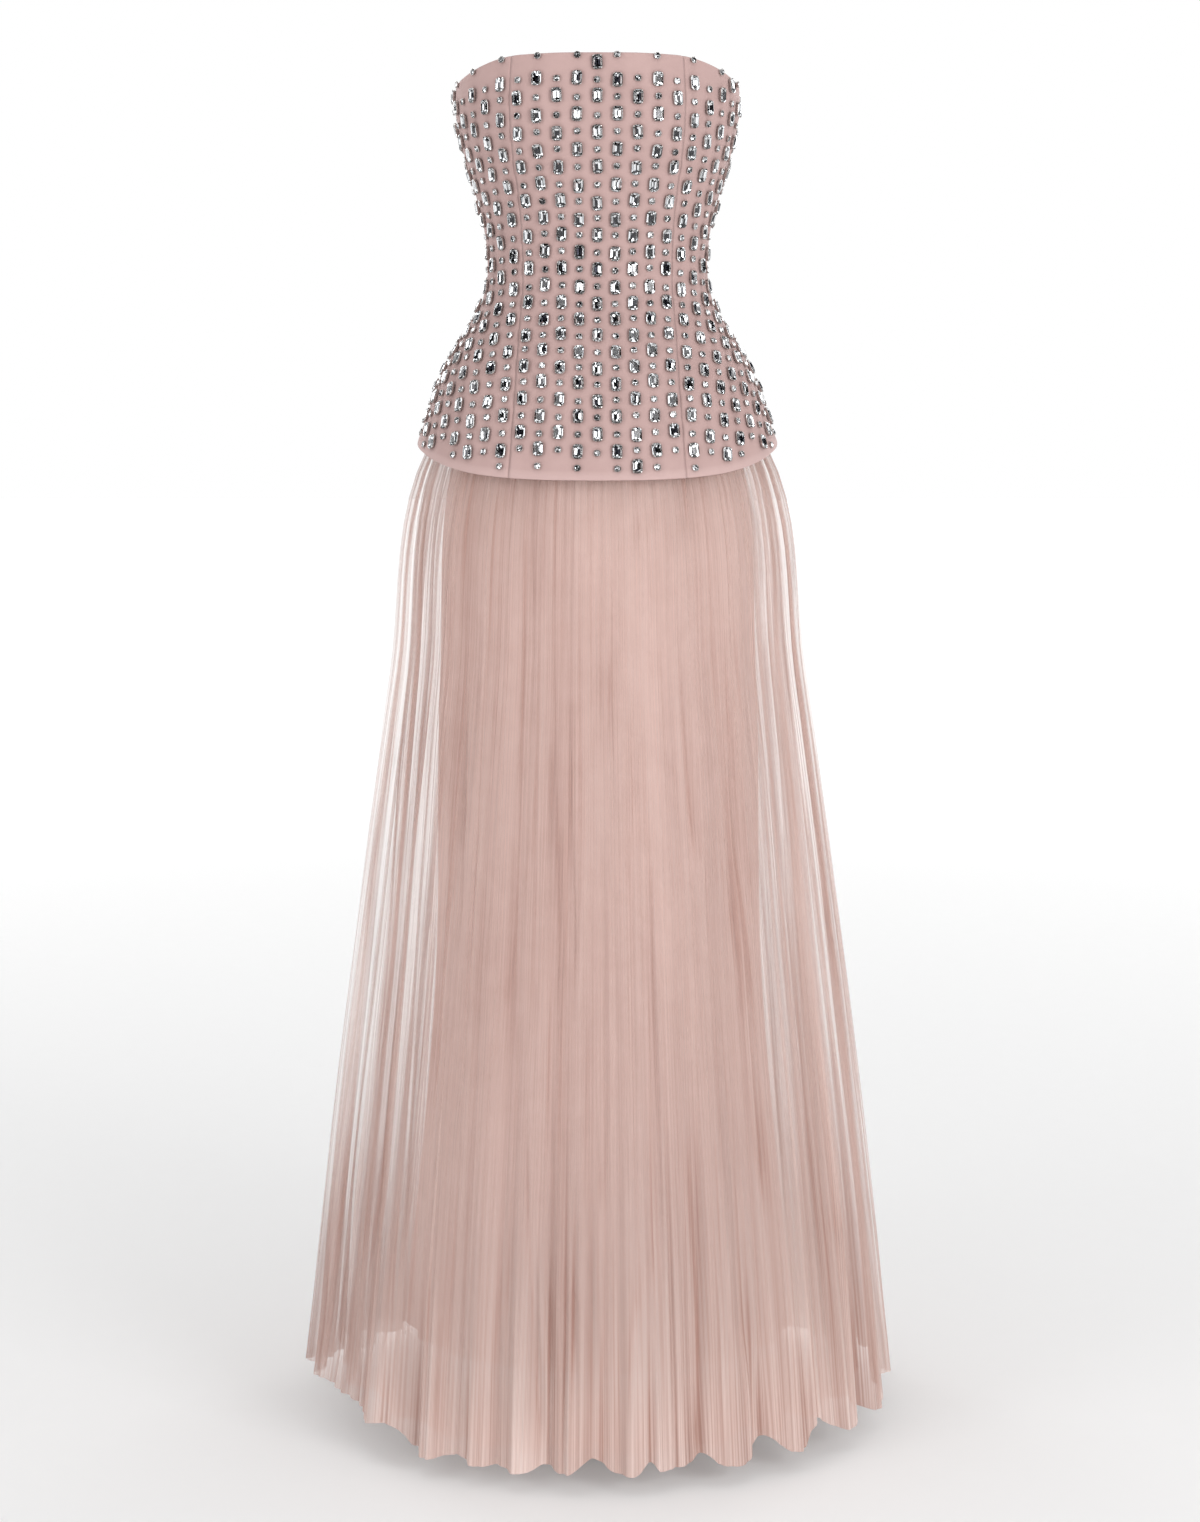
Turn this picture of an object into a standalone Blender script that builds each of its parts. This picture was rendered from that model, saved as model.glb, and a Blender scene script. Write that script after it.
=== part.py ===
"""Strapless evening gown, empty and filled out as if it were worn.

The fitted bodice is cut in one with its flared peplum from seven panels, and columns of large
octagon crystals stand out of its cloth. A gathered tulle skirt over a plain lining hangs from a
seam inside the waist. A concealed zip closes the centre back, and its pull tab swings on the slider.

The tables and sizes are in millimetres, the meshes in metres. The front faces -Y, the wearer's
left is +X, +Z is up, and the origin is the centre of the waist. An arc is a length round the
bodice at one height, measured from the centre front, positive towards the wearer's left.
"""

import math
from collections import namedtuple

import bpy
import numpy as np
from mathutils import Vector
from mathutils.geometry import delaunay_2d_cdt

MM = 0.001
SEAM_GAP = 0.3

# Bodice and peplum: the form at each height, how far the princess seams lie from the centre
# front and the centre back, and how far apart the columns of crystals run.
BODICE_WALL = 2.5
ROUNDNESS = 2.15
Section = namedtuple(
    "Section", "height half_width front_depth back_depth front_seam back_seam pitch"
)
BODICE = (
    Section(-215, 191.0, 152.0, 154.0, 88, 86, 18.3),
    Section(-180, 179.5, 144.0, 147.0, 85, 83, 18.2),
    Section(-150, 169.0, 136.0, 140.0, 83, 81, 18.1),
    Section(-120, 158.0, 126.5, 131.0, 81, 79, 18.0),
    Section(-100, 149.5, 118.5, 122.5, 80, 78, 17.9),
    Section(-80, 138.5, 109.0, 112.5, 79, 77, 17.8),
    Section(-60, 126.0, 99.0, 101.5, 78, 76, 17.7),
    Section(-40, 115.0, 91.0, 92.0, 77, 75, 17.6),
    Section(-20, 109.0, 86.8, 86.0, 76, 74, 17.5),
    Section(0, 107.5, 86.0, 83.5, 76, 73, 17.5),
    Section(30, 110.0, 89.0, 84.0, 77, 74, 17.6),
    Section(60, 117.0, 95.5, 87.0, 79, 76, 18.0),
    Section(90, 125.5, 102.5, 91.0, 83, 78, 18.6),
    Section(120, 133.5, 108.0, 95.0, 86, 80, 19.2),
    Section(150, 138.5, 111.0, 98.0, 87, 81, 19.4),
    Section(180, 136.5, 109.5, 98.0, 86, 80, 19.4),
    Section(210, 132.0, 106.0, 96.0, 84, 78, 19.4),
)
# The two cups, as a swell forward of the front.
CUP_DEPTH = 9.0
CUP_APART = 70.0
CUP_WIDTH = 48.0
CUP_HEIGHT = 132.0
CUP_TALL = 58.0
# Top edge and peplum hem, by the fraction of the way round from centre front to centre back.
Edge = namedtuple("Edge", "fraction top hem")
EDGES = (
    Edge(0.00, 198.0, -203.0),
    Edge(0.13, 197.5, -202.0),
    Edge(0.25, 194.0, -197.0),
    Edge(0.33, 186.5, -189.0),
    Edge(0.40, 178.5, -181.0),
    Edge(0.50, 170.0, -173.5),
    Edge(0.75, 165.0, -181.0),
    Edge(1.00, 163.0, -189.0),
)
SEAM_STEPS = 15
EDGE_STEP = 20.0
INNER_STEP = 28.0
INNER_MARGIN = 9.0

# Panels: the seam each one starts and ends at, its side (0 over the centre front, 1 the wearer's
# left, -1 the right), how many columns of crystals fill it (0 where they run a set distance apart
# from its front or back seam, and end at the side seam), whether its first column starts half a
# repeat down, and the seed of its small unevenness.
Panel = namedtuple("Panel", "name start end side columns later seed")
PANELS = (
    Panel("bodice_front", "front", "front", 0, 9, 0, 11),
    Panel("bodice_side_front_left", "front", "side", 1, 0, 1, 12),
    Panel("bodice_side_front_right", "front", "side", -1, 0, 1, 13),
    Panel("bodice_side_back_left", "side", "back", 1, 0, 0, 14),
    Panel("bodice_side_back_right", "side", "back", -1, 0, 0, 15),
    Panel("bodice_back_left", "back", "centre_back", 1, 4, 1, 16),
    Panel("bodice_back_right", "back", "centre_back", -1, 4, 0, 17),
)

# Large octagon crystals, one every STONE_REPEAT down a column, neighbours half a repeat apart.
STONE_WIDTH = 9.6
STONE_LENGTH = 13.8
STONE_HEIGHT = 4.0
TABLE_WIDTH = 5.6
TABLE_LENGTH = 9.4
STONE_REPEAT = 33.0
STONE_MARGIN = 1.3
STONE_TO_HEM = 5.0
STONE_DRIFT = 1.4
STONE_LEAN = math.radians(4.0)
FIRST_STONE = 8.6
MOST_COLUMNS = 12
COLUMN_STEP = 5.0
CORNERS = ((-1, -1), (1, -1), (1, 1), (-1, 1))

# Tulle skirt: its outline at each height, how far its middle has swung to the wearer's left,
# how deep its lobes and its gathers are there, and how far it is set back behind the zip tape.
TULLE_WALL = 1.2
Ring = namedtuple(
    "Ring", "height half_width front_depth back_depth roundness middle lobe gather setback"
)
SKIRT = (
    Ring(-1124, 298.5, 298.0, 298.0, 2.0, 2.0, 15.0, 6.4, 0.0),
    Ring(-960, 281.5, 278.0, 278.0, 2.0, 1.8, 13.0, 5.5, 0.0),
    Ring(-700, 249.0, 238.5, 238.5, 2.0, 1.2, 10.0, 4.5, 0.0),
    Ring(-400, 207.0, 184.5, 184.5, 2.0, 0.5, 7.0, 3.6, 0.0),
    Ring(-186, 171.5, 138.5, 141.0, 2.05, 0.0, 5.0, 3.0, 0.0),
    Ring(-110, 128.0, 98.0, 99.0, 2.1, 0.0, 2.5, 2.3, 0.0),
    Ring(-25, 106.1, 83.8, 82.9, 2.15, 0.0, 0.0, 1.3, 1.2),
)
GATHERS = 132
LOBES = 26
# Uneven lobes: each row bends the even spacing by a sine of so many turns round the skirt.
Bend = namedtuple("Bend", "turns amount phase")
LOBE_BENDS = (Bend(3, 0.10, 0.7), Bend(5, 0.05, 2.1))
SETBACK_REACH = 17.0
# The tulle's hem is uneven: how much higher it hangs at angles from the centre front towards
# the wearer's left, in degrees, and how much each lobe adds.
Lift = namedtuple("Lift", "angle lift")
HEM_LIFTS = (
    Lift(-180, 0.0),
    Lift(-110, 4.0),
    Lift(-85, 15.0),
    Lift(-62, 13.0),
    Lift(-42, 3.0),
    Lift(-25, -10.0),
    Lift(-10, -9.0),
    Lift(15, -6.0),
    Lift(45, -2.0),
    Lift(90, 2.0),
    Lift(180, 0.0),
)
HEM_UNEVEN = 3.0

# Lining, seen through the tulle, shorter than it.
LINING_WALL = 1.0
LINING = (
    Ring(-1064, 198.0, 196.0, 196.0, 2.0, 2.0, 0.0, 0.0, 0.0),
    Ring(-700, 164.0, 158.0, 158.0, 2.0, 1.2, 0.0, 0.0, 0.0),
    Ring(-400, 157.0, 140.0, 140.0, 2.0, 0.5, 0.0, 0.0, 0.0),
    Ring(-186, 141.0, 113.0, 115.0, 2.05, 0.0, 0.0, 0.0, 0.0),
    Ring(-110, 116.0, 88.0, 89.0, 2.1, 0.0, 0.0, 0.0, 0.0),
    Ring(-27, 103.2, 80.9, 80.0, 2.15, 0.0, 0.0, 0.0, 1.2),
)
LINING_STEPS = 16

# Concealed zip at the centre back.
ZIP_SLOT = 1.6
TAPE_HALF_WIDTH = 12.0
TAPE_WALL = 0.9
TAPE_SEAT = 0.9
TAPE_END = -150.0
SLIDER_BELOW_TOP = 11.0
SLIDER_SIZE = (4.6, 1.5, 9.0)
KEEL_SIZE = (1.0, 2.0, 7.0)
ARCH_WIDTH = 1.6
ARCH_BAR = 1.0
ARCH_OPENING = (2.0, 2.4)
PULL_WALL = 1.2
PULL_BAR = 1.0
PULL_DROP = 0.2
WINDOW_HALF_WIDTH = 1.3
WINDOW_END = -3.7
HEAD_HALF_WIDTH = 2.6
TAB_HALF_WIDTH = 4.0
TAB_ROUND_AT = -19.0
TAB_ROUND_STEPS = 10

STEPS = np.linspace(0.0, math.pi, 181)


def clear_scene():
    for thing in list(bpy.data.objects):
        bpy.data.objects.remove(thing, do_unlink=True)


def material(name, colour, roughness, metallic=0.0):
    made = bpy.data.materials.new(name)
    made.use_nodes = True
    shader = made.node_tree.nodes["Principled BSDF"]
    shader.inputs["Base Color"].default_value = (*colour, 1.0)
    shader.inputs["Roughness"].default_value = roughness
    shader.inputs["Metallic"].default_value = metallic
    return made


def add_mesh(name, points, faces, finish, smooth=None):
    """New object from points in millimetres, smooth shaded up to an angle where one is given."""
    mesh = bpy.data.meshes.new(name)
    mesh.from_pydata((np.asarray(points) * MM).tolist(), [], faces)
    mesh.materials.append(finish)
    mesh.validate()
    if smooth is not None:
        mesh.shade_smooth()
        mesh.set_sharp_from_angle(angle=math.radians(smooth))
    thing = bpy.data.objects.new(name, mesh)
    bpy.context.scene.collection.objects.link(thing)
    return thing


def read(table, name, at):
    """Cubic curve through one column of a table against its first column, read where asked."""
    place = np.array([row[0] for row in table], float)
    value = np.array([getattr(row, name) for row in table], float)
    slope = np.gradient(value, place)
    at = np.asarray(at, float)
    low = np.clip(np.searchsorted(place, at) - 1, 0, len(place) - 2)
    gap = place[low + 1] - place[low]
    t = np.clip((at - place[low]) / gap, 0.0, 1.0)
    ends = (2 * t**3 - 3 * t**2 + 1) * value[low] + (3 * t**2 - 2 * t**3) * value[low + 1]
    bend = (t**3 - 2 * t**2 + t) * slope[low] + (t**3 - t**2) * slope[low + 1]
    return ends + gap * bend


def oval(angle, half_width, front_depth, back_depth, roundness):
    """Squared oval, the angle running from the centre front towards the wearer's left."""
    sine = np.sin(angle)
    cosine = np.cos(angle)
    power = 2.0 / roundness
    depth = np.where(cosine > 0, front_depth, back_depth)
    x = half_width * np.sign(sine) * np.abs(sine) ** power
    y = -depth * np.sign(cosine) * np.abs(cosine) ** power
    return x, y


def bodice_point(angle, height, inset=0.0):
    """Points of the bodice's outer face, or of a face that much further in."""
    angle, height = np.broadcast_arrays(np.asarray(angle, float), np.asarray(height, float))
    half_width = read(BODICE, "half_width", height) - inset
    front_depth = read(BODICE, "front_depth", height) - inset
    back_depth = read(BODICE, "back_depth", height) - inset
    x, y = oval(angle, half_width, front_depth, back_depth, ROUNDNESS)
    beside = ((np.abs(x) - CUP_APART) / CUP_WIDTH) ** 2
    above = ((height - CUP_HEIGHT) / CUP_TALL) ** 2
    y = y - CUP_DEPTH * np.exp(-beside - above) * np.clip(np.cos(angle), 0.0, 1.0)
    return np.stack([x, y, height], axis=-1)


def arc_lengths(height):
    """Arc from the centre front to each of STEPS, one row for each height."""
    ring = bodice_point(STEPS[None, :], np.asarray(height, float).reshape(-1, 1))
    step = np.linalg.norm(np.diff(ring, axis=1), axis=2)
    return np.concatenate([np.zeros((len(step), 1)), np.cumsum(step, axis=1)], axis=1)


def surface(arc, height, inset=0.0):
    """Points at an arc and a height."""
    arc = np.asarray(arc, float)
    rows = arc_lengths(height)
    angle = np.array([np.interp(abs(a), row, STEPS) for a, row in zip(arc, rows)])
    return bodice_point(np.sign(arc) * angle, height, inset)


def seam_arc(seam, height):
    """Arc of a seam at each height, on the wearer's left."""
    rows = arc_lengths(height)
    if seam == "front":
        return read(BODICE, "front_seam", height)
    if seam == "side":
        return rows[:, len(STEPS) // 2]
    if seam == "back":
        return rows[:, -1] - read(BODICE, "back_seam", height)
    return rows[:, -1] - ZIP_SLOT / 2 + SEAM_GAP / 2


def panel_limits(panel, height):
    """Lowest and highest arc of a panel's cloth at each height."""
    start = seam_arc(panel.start, height)
    end = seam_arc(panel.end, height)
    if panel.side == 0:
        start = -start
    if panel.side < 0:
        start, end = -end, -start
    return start + SEAM_GAP / 2, end - SEAM_GAP / 2


def edge_height(which, arc, height):
    return read(EDGES, which, np.abs(arc) / arc_lengths(height)[:, -1])


def edge_line(panel, which, across):
    """Arc and height along a panel's top edge or hem, at fractions of its width."""
    height = np.full(len(across), EDGES[0].top if which == "top" else EDGES[0].hem, float)
    for _ in range(8):
        low, high = panel_limits(panel, height)
        arc = low + across * (high - low)
        height = edge_height(which, arc, height)
    return np.column_stack([arc, height])


def panel_border(panel):
    """Arc and height round a panel's edge, anticlockwise from its lower corner."""
    low, high = panel_limits(panel, [EDGES[0].hem])
    steps = max(4, round(float(high[0] - low[0]) / EDGE_STEP))
    across = np.linspace(0.0, 1.0, steps + 1)
    hem = edge_line(panel, "hem", across)
    top = edge_line(panel, "top", across)
    rise = np.linspace(0.0, 1.0, SEAM_STEPS + 1)[1:-1]
    first = hem[0, 1] + rise * (top[0, 1] - hem[0, 1])
    last = hem[-1, 1] + rise * (top[-1, 1] - hem[-1, 1])
    start_seam = np.column_stack([panel_limits(panel, first)[0], first])
    end_seam = np.column_stack([panel_limits(panel, last)[1], last])
    return np.concatenate([hem, end_seam, top[::-1], start_seam[::-1]])


def column_line(panel, column, height):
    """Arc of a column of crystals at each height."""
    if panel.columns:
        low, high = panel_limits(panel, height)
        return low + (high - low) * (column + 0.5) / panel.columns
    step = (column + 0.5) * read(BODICE, "pitch", height)
    if panel.start == "front":
        return panel.side * (seam_arc("front", height) + step)
    return panel.side * (seam_arc("back", height) - step)


def stone_corners(panel, column, arc, height, lean):
    """Arc and height of each crystal's four base corners, and its place and directions.

    A step along the surface is so much arc and so much height. The column's own direction gives
    the crystal's length, and the direction square to it in the cloth gives its width.
    """
    here = surface(arc, height)
    by_arc = (surface(arc + 1, height) - surface(arc - 1, height)) / 2
    by_height = (surface(arc, height + 1) - surface(arc, height - 1)) / 2
    drift = (column_line(panel, column, height + 1) - column_line(panel, column, height - 1)) / 2
    along = by_arc * drift[:, None] + by_height
    length = np.linalg.norm(along, axis=1)[:, None]
    along = along / length
    along_step = np.column_stack([drift, np.ones_like(drift)]) / length
    shared = np.sum(by_arc * along, axis=1)[:, None]
    across = by_arc - shared * along
    width = np.linalg.norm(across, axis=1)[:, None]
    across = across / width
    across_step = (np.array([[1.0, 0.0]]) - shared * along_step) / width
    cosine = np.cos(lean)[:, None]
    sine = np.sin(lean)[:, None]
    along, across = along * cosine + across * sine, across * cosine - along * sine
    along_step, across_step = (
        along_step * cosine + across_step * sine,
        across_step * cosine - along_step * sine,
    )
    outward = np.cross(across, along)
    centre = np.column_stack([arc, height])
    corners = [
        centre + u * across_step * STONE_WIDTH / 2 + v * along_step * STONE_LENGTH / 2
        for u, v in CORNERS
    ]
    tops = [
        here
        + u * across * TABLE_WIDTH / 2
        + v * along * TABLE_LENGTH / 2
        + outward * STONE_HEIGHT
        for u, v in CORNERS
    ]
    return np.stack(corners, axis=1), np.stack(tops, axis=1)


def stones_fit(panel, corners):
    """Which crystals have all their corners on the panel's cloth."""
    arc = corners[..., 0].ravel()
    height = corners[..., 1].ravel()
    low, high = panel_limits(panel, height)
    inside = (arc > low + STONE_MARGIN) & (arc < high - STONE_MARGIN)
    inside &= height < edge_height("top", arc, height) - STONE_MARGIN
    inside &= height > edge_height("hem", arc, height) + STONE_TO_HEM
    return inside.reshape(corners.shape[:2]).all(axis=1)


def panel_stones(panel):
    """Base corners and raised corners of every large crystal on a panel."""
    random = np.random.default_rng(panel.seed)
    heights = np.arange(BODICE[-1].height, BODICE[0].height, -COLUMN_STEP)
    lowest, highest = panel_limits(panel, heights)
    all_corners = []
    all_tops = []
    for column in range(panel.columns or MOST_COLUMNS):
        line = np.clip(column_line(panel, column, heights), lowest, highest)
        down = surface(line, heights)
        run = np.concatenate([[0.0], np.cumsum(np.linalg.norm(np.diff(down, axis=0), axis=1))])
        below_top = edge_height("top", line, heights) - heights
        start = np.interp(0.0, below_top, run) + FIRST_STONE
        start += (column + panel.later) % 2 * STONE_REPEAT / 2
        count = int((run[-1] - start) / STONE_REPEAT) + 1
        places = start + STONE_REPEAT * np.arange(count)
        places = places + random.uniform(-STONE_DRIFT, STONE_DRIFT, count)
        height = np.interp(places, run, heights)
        lean = random.uniform(-STONE_LEAN, STONE_LEAN, count)
        arc = column_line(panel, column, height)
        low, high = panel_limits(panel, height)
        on_cloth = (arc > low) & (arc < high)
        if not on_cloth.any():
            continue
        corners, tops = stone_corners(
            panel, column, arc[on_cloth], height[on_cloth], lean[on_cloth]
        )
        fit = stones_fit(panel, corners)
        all_corners.append(corners[fit])
        all_tops.append(tops[fit])
    return np.concatenate(all_corners), np.concatenate(all_tops)


def inner_grid(panel):
    """Arc and height of the few points inside a panel's plain inner face."""
    found = []
    lowest = EDGES[0].hem + INNER_MARGIN
    highest = EDGES[0].top - INNER_MARGIN
    rows = round((highest - lowest) / INNER_STEP)
    for height in np.linspace(lowest, highest, rows + 1):
        low, high = panel_limits(panel, [height])
        count = max(2, round(float(high[0] - low[0]) / INNER_STEP))
        for across in (np.arange(count) + 0.5) / count:
            arc = float(low[0] + across * (high[0] - low[0]))
            top = edge_height("top", [arc], [height])[0]
            hem = edge_height("hem", [arc], [height])[0]
            if hem + INNER_MARGIN <= height <= top - INNER_MARGIN:
                found.append((arc, height))
    return np.array(found)


def triangles(flat, border_count, loops):
    """Triangles between flat points: inside the border, which comes first, and outside the loops."""
    owner = np.full(len(flat), -1)
    edges = []
    for index, loop in enumerate(loops):
        owner[loop] = index
        edges += [(int(a), int(b)) for a, b in zip(loop, np.roll(loop, -1))]
    points = [Vector((float(u), float(v))) for u, v in flat]
    result = delaunay_2d_cdt(points, edges, [list(range(border_count))], 1, 1e-5)
    assert len(result[0]) == len(flat), "two flat points fell together"
    source = [found[0] for found in result[3]]
    kept = []
    for face in result[2]:
        corners = [source[i] for i in face]
        owners = {int(owner[i]) for i in corners}
        if owners == {-1} or len(owners) > 1:
            kept.append(corners)
    return kept


def make_panel(panel, finish):
    """One bodice panel: crystals raised in its outer face, over a plain inner face."""
    border = panel_border(panel)
    count = len(border)
    corners, tops = panel_stones(panel)
    stones = len(corners)
    flat = np.concatenate([border, corners.reshape(-1, 2)])
    loops = (count + np.arange(4 * stones)).reshape(stones, 4)
    outer = surface(flat[:, 0], flat[:, 1])
    faces = triangles(flat, count, loops)
    top_start = len(outer)
    for index, base in enumerate(loops.tolist()):
        raised = [top_start + 4 * index + i for i in range(4)]
        for i in range(4):
            after = (i + 1) % 4
            faces.append([base[i], base[after], raised[after], raised[i]])
        faces.append(raised)
    inner_start = top_start + 4 * stones
    inner_flat = np.concatenate([border, inner_grid(panel)])
    inner = surface(inner_flat[:, 0], inner_flat[:, 1], BODICE_WALL)
    for face in triangles(inner_flat, count, []):
        faces.append([inner_start + i for i in reversed(face)])
    for i in range(count):
        after = (i + 1) % count
        faces.append([after, i, inner_start + i, inner_start + after])
    points = np.concatenate([outer, tops.reshape(-1, 3), inner])
    return add_mesh(panel.name, points, faces, finish)


def closed_wall(name, outer, inner, finish, smooth):
    """Wall between two grids of points, whose rows go up and whose columns go round to the left."""
    rows, columns = outer.shape[:2]
    index = np.arange(rows * columns).reshape(rows, columns)
    behind = index + rows * columns
    faces = []
    for r in range(rows - 1):
        for c in range(columns - 1):
            a, b, d, e = index[r, c], index[r, c + 1], index[r + 1, c + 1], index[r + 1, c]
            faces.append([a, b, d, e])
            a, b, d, e = behind[r, c], behind[r, c + 1], behind[r + 1, c + 1], behind[r + 1, c]
            faces.append([e, d, b, a])
    edge = list(index[0]) + list(index[1:, -1]) + list(index[-1, -2::-1]) + list(index[-2:0:-1, 0])
    for i, after in zip(edge, edge[1:] + edge[:1]):
        faces.append([after, i, i + rows * columns, after + rows * columns])
    faces = [[int(i) for i in face] for face in faces]
    points = np.concatenate([outer.reshape(-1, 3), inner.reshape(-1, 3)])
    return add_mesh(name, points, faces, finish, smooth)


def lobe_phase(angle):
    """Phase of the skirt's uneven lobes round the figure."""
    bent = angle + sum(row.amount * np.sin(row.turns * angle + row.phase) for row in LOBE_BENDS)
    return LOBES * bent


def hung_wall(name, table, wall, start, end, steps, finish):
    """A hung width of cloth between two angles: an oval at each height, cut in by its folds."""
    outer = []
    inner = []
    for ring in table:
        edge = SEAM_GAP / 2 / min(ring.front_depth, ring.back_depth)
        angle = np.linspace(start + edge, end - edge, steps + 1)
        phase = lobe_phase(angle)
        valley = np.arange(steps + 1) % 2
        uneven = 0.75 + 0.25 * np.sin(2.6 * phase + ring.height * 0.004)
        fold = ring.lobe * (1 - np.cos(phase)) / 2 + ring.gather * valley * uneven
        from_back = (math.pi - np.abs(angle)) * ring.back_depth
        fold = fold + ring.setback * np.exp(-((from_back / SETBACK_REACH) ** 4))
        spacing = (end - start) / steps * ring.front_depth
        rise = np.abs(np.diff(fold)) / spacing
        slope = np.maximum(np.append(rise, rise[-1]), np.insert(rise, 0, rise[0]))
        through = wall * np.sqrt(1 + slope**2)
        height = np.full(steps + 1, float(ring.height))
        if ring.lobe and ring is table[0]:
            height += read(HEM_LIFTS, "lift", np.degrees(angle)) + HEM_UNEVEN * np.cos(phase)
        for found, cut in ((outer, fold), (inner, fold + through)):
            x, y = oval(
                angle,
                ring.half_width - cut,
                ring.front_depth - cut,
                ring.back_depth - cut,
                ring.roundness,
            )
            found.append(np.column_stack([x + ring.middle, y, height]))
    return closed_wall(name, np.array(outer), np.array(inner), finish, 50)


def centre_back_edge(which):
    """Height of the top edge or the hem where it meets the zip."""
    return edge_line(PANELS[-2], which, np.array([1.0]))[0, 1]


def make_tape(finish):
    """Zip tape, flat against the inside of the two back panels."""
    hem = centre_back_edge("hem")
    top = centre_back_edge("top")
    heights = np.linspace(hem, top, SEAM_STEPS + 1)
    heights = heights[heights > TAPE_END]
    half_girth = arc_lengths(heights)[:, -1]
    faces = []
    for inset in (BODICE_WALL + TAPE_SEAT, BODICE_WALL + TAPE_SEAT + TAPE_WALL):
        left = surface(half_girth - TAPE_HALF_WIDTH, heights, inset)
        right = left * np.array([-1.0, 1.0, 1.0])
        middle = bodice_point(math.pi, heights, inset)
        faces.append(np.stack([left, middle, right], axis=1))
    return closed_wall("zip_tape", faces[0], faces[1], finish, None)


def plate(name, outline, window, half_wall, place, finish):
    """Flat plate with one window, each corner set by place(across, up, through)."""
    flat = np.array(outline + window, float)
    count = len(outline)
    loop = np.arange(count, len(flat))
    front = triangles(flat, count, [loop])
    points = [place(u, v, side * half_wall) for side in (1, -1) for u, v in flat]
    faces = [list(face) for face in front]
    faces += [[i + len(flat) for i in reversed(face)] for face in front]
    for ring in (list(range(count)), [int(i) for i in loop[::-1]]):
        for i, after in zip(ring, ring[1:] + ring[:1]):
            faces.append([after, i, i + len(flat), after + len(flat)])
    return add_mesh(name, points, faces, finish)


def block(name, low, high, finish):
    """Box between two corners."""
    sides = list(zip(low, high))
    points = [(x, y, z) for z in sides[2] for y in sides[1] for x in sides[0]]
    faces = [(0, 2, 3, 1), (4, 5, 7, 6), (0, 1, 5, 4), (2, 6, 7, 3), (0, 4, 6, 2), (1, 3, 7, 5)]
    return add_mesh(name, points, faces, finish)


def rectangle(low, high):
    return [(low[0], low[1]), (high[0], low[1]), (high[0], high[1]), (low[0], high[1])]


def make_slider(height, finish):
    """Slider plate on the cloth, its keel in the slot and the arch that holds the pull tab."""
    base = float(bodice_point(math.pi, height)[1]) + SEAM_GAP
    face = base + SLIDER_SIZE[1]
    half_width = SLIDER_SIZE[0] / 2
    half_length = SLIDER_SIZE[2] / 2
    slider = block(
        "zip_slider",
        (-half_width, base, height - half_length),
        (half_width, face, height + half_length),
        finish,
    )
    keel_face = face - SLIDER_SIZE[1] / 2
    keel = block(
        "keel",
        (-KEEL_SIZE[0] / 2, keel_face - KEEL_SIZE[1], height - KEEL_SIZE[2] / 2),
        (KEEL_SIZE[0] / 2, keel_face, height + KEEL_SIZE[2] / 2),
        finish,
    )
    opening_depth, opening_length = ARCH_OPENING
    low = height - opening_length / 2
    high = height + opening_length / 2
    arch = plate(
        "arch",
        rectangle(
            (face - ARCH_BAR / 2, low - ARCH_BAR),
            (face + opening_depth + ARCH_BAR, high + ARCH_BAR),
        ),
        rectangle((face, low), (face + opening_depth, high)),
        ARCH_WIDTH / 2,
        lambda y, z, x: (x, y, z),
        finish,
    )
    for piece in (keel, arch):
        piece.hide_render = True
        piece.display_type = "WIRE"
        join = slider.modifiers.new(piece.name, "BOOLEAN")
        join.operation = "UNION"
        join.solver = "EXACT"
        join.object = piece
    return face + opening_depth / 2


def make_pull(axis_depth, axis_height, finish):
    """Pull tab: a bar under the slider's arch, a window round the arch and a rounded drop."""
    round_end = [
        (-TAB_HALF_WIDTH * math.cos(angle), TAB_ROUND_AT - TAB_HALF_WIDTH * math.sin(angle))
        for angle in np.linspace(0.0, math.pi, TAB_ROUND_STEPS + 1)
    ]
    head = [
        (HEAD_HALF_WIDTH, WINDOW_END),
        (HEAD_HALF_WIDTH, PULL_BAR / 2),
        (-HEAD_HALF_WIDTH, PULL_BAR / 2),
        (-HEAD_HALF_WIDTH, WINDOW_END),
    ]
    window = rectangle((-WINDOW_HALF_WIDTH, WINDOW_END), (WINDOW_HALF_WIDTH, -PULL_BAR / 2))
    pull = plate(
        "zip_pull",
        round_end + head,
        window,
        PULL_WALL / 2,
        lambda x, z, y: (x, -y, z),
        finish,
    )
    pull.location = (0.0, axis_depth * MM, axis_height * MM)


clear_scene()
bodice_cloth = material("bodice_cloth", (0.50, 0.33, 0.31), 0.75)
tulle = material("tulle", (0.66, 0.47, 0.43), 0.85)
lining_cloth = material("lining_cloth", (0.62, 0.40, 0.36), 0.6)
tape_cloth = material("zip_tape_cloth", (0.48, 0.31, 0.29), 0.8)
zip_metal = material("zip_metal", (0.62, 0.50, 0.47), 0.3, 0.9)

for bodice_panel in PANELS:
    make_panel(bodice_panel, bodice_cloth)

half_turn = math.pi
quarter = math.pi / 2
hung_wall("skirt_front", SKIRT, TULLE_WALL, -quarter, quarter, GATHERS, tulle)
hung_wall("skirt_back_left", SKIRT, TULLE_WALL, quarter, half_turn, GATHERS // 2, tulle)
hung_wall("skirt_back_right", SKIRT, TULLE_WALL, -half_turn, -quarter, GATHERS // 2, tulle)
hung_wall("lining_front", LINING, LINING_WALL, -quarter, quarter, LINING_STEPS, lining_cloth)
hung_wall("lining_back", LINING, LINING_WALL, quarter, 3 * quarter, LINING_STEPS, lining_cloth)
make_tape(tape_cloth)
slider_height = centre_back_edge("top") - SLIDER_BELOW_TOP
arch_middle = make_slider(slider_height, zip_metal)
make_pull(arch_middle, slider_height - PULL_DROP, zip_metal)
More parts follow.
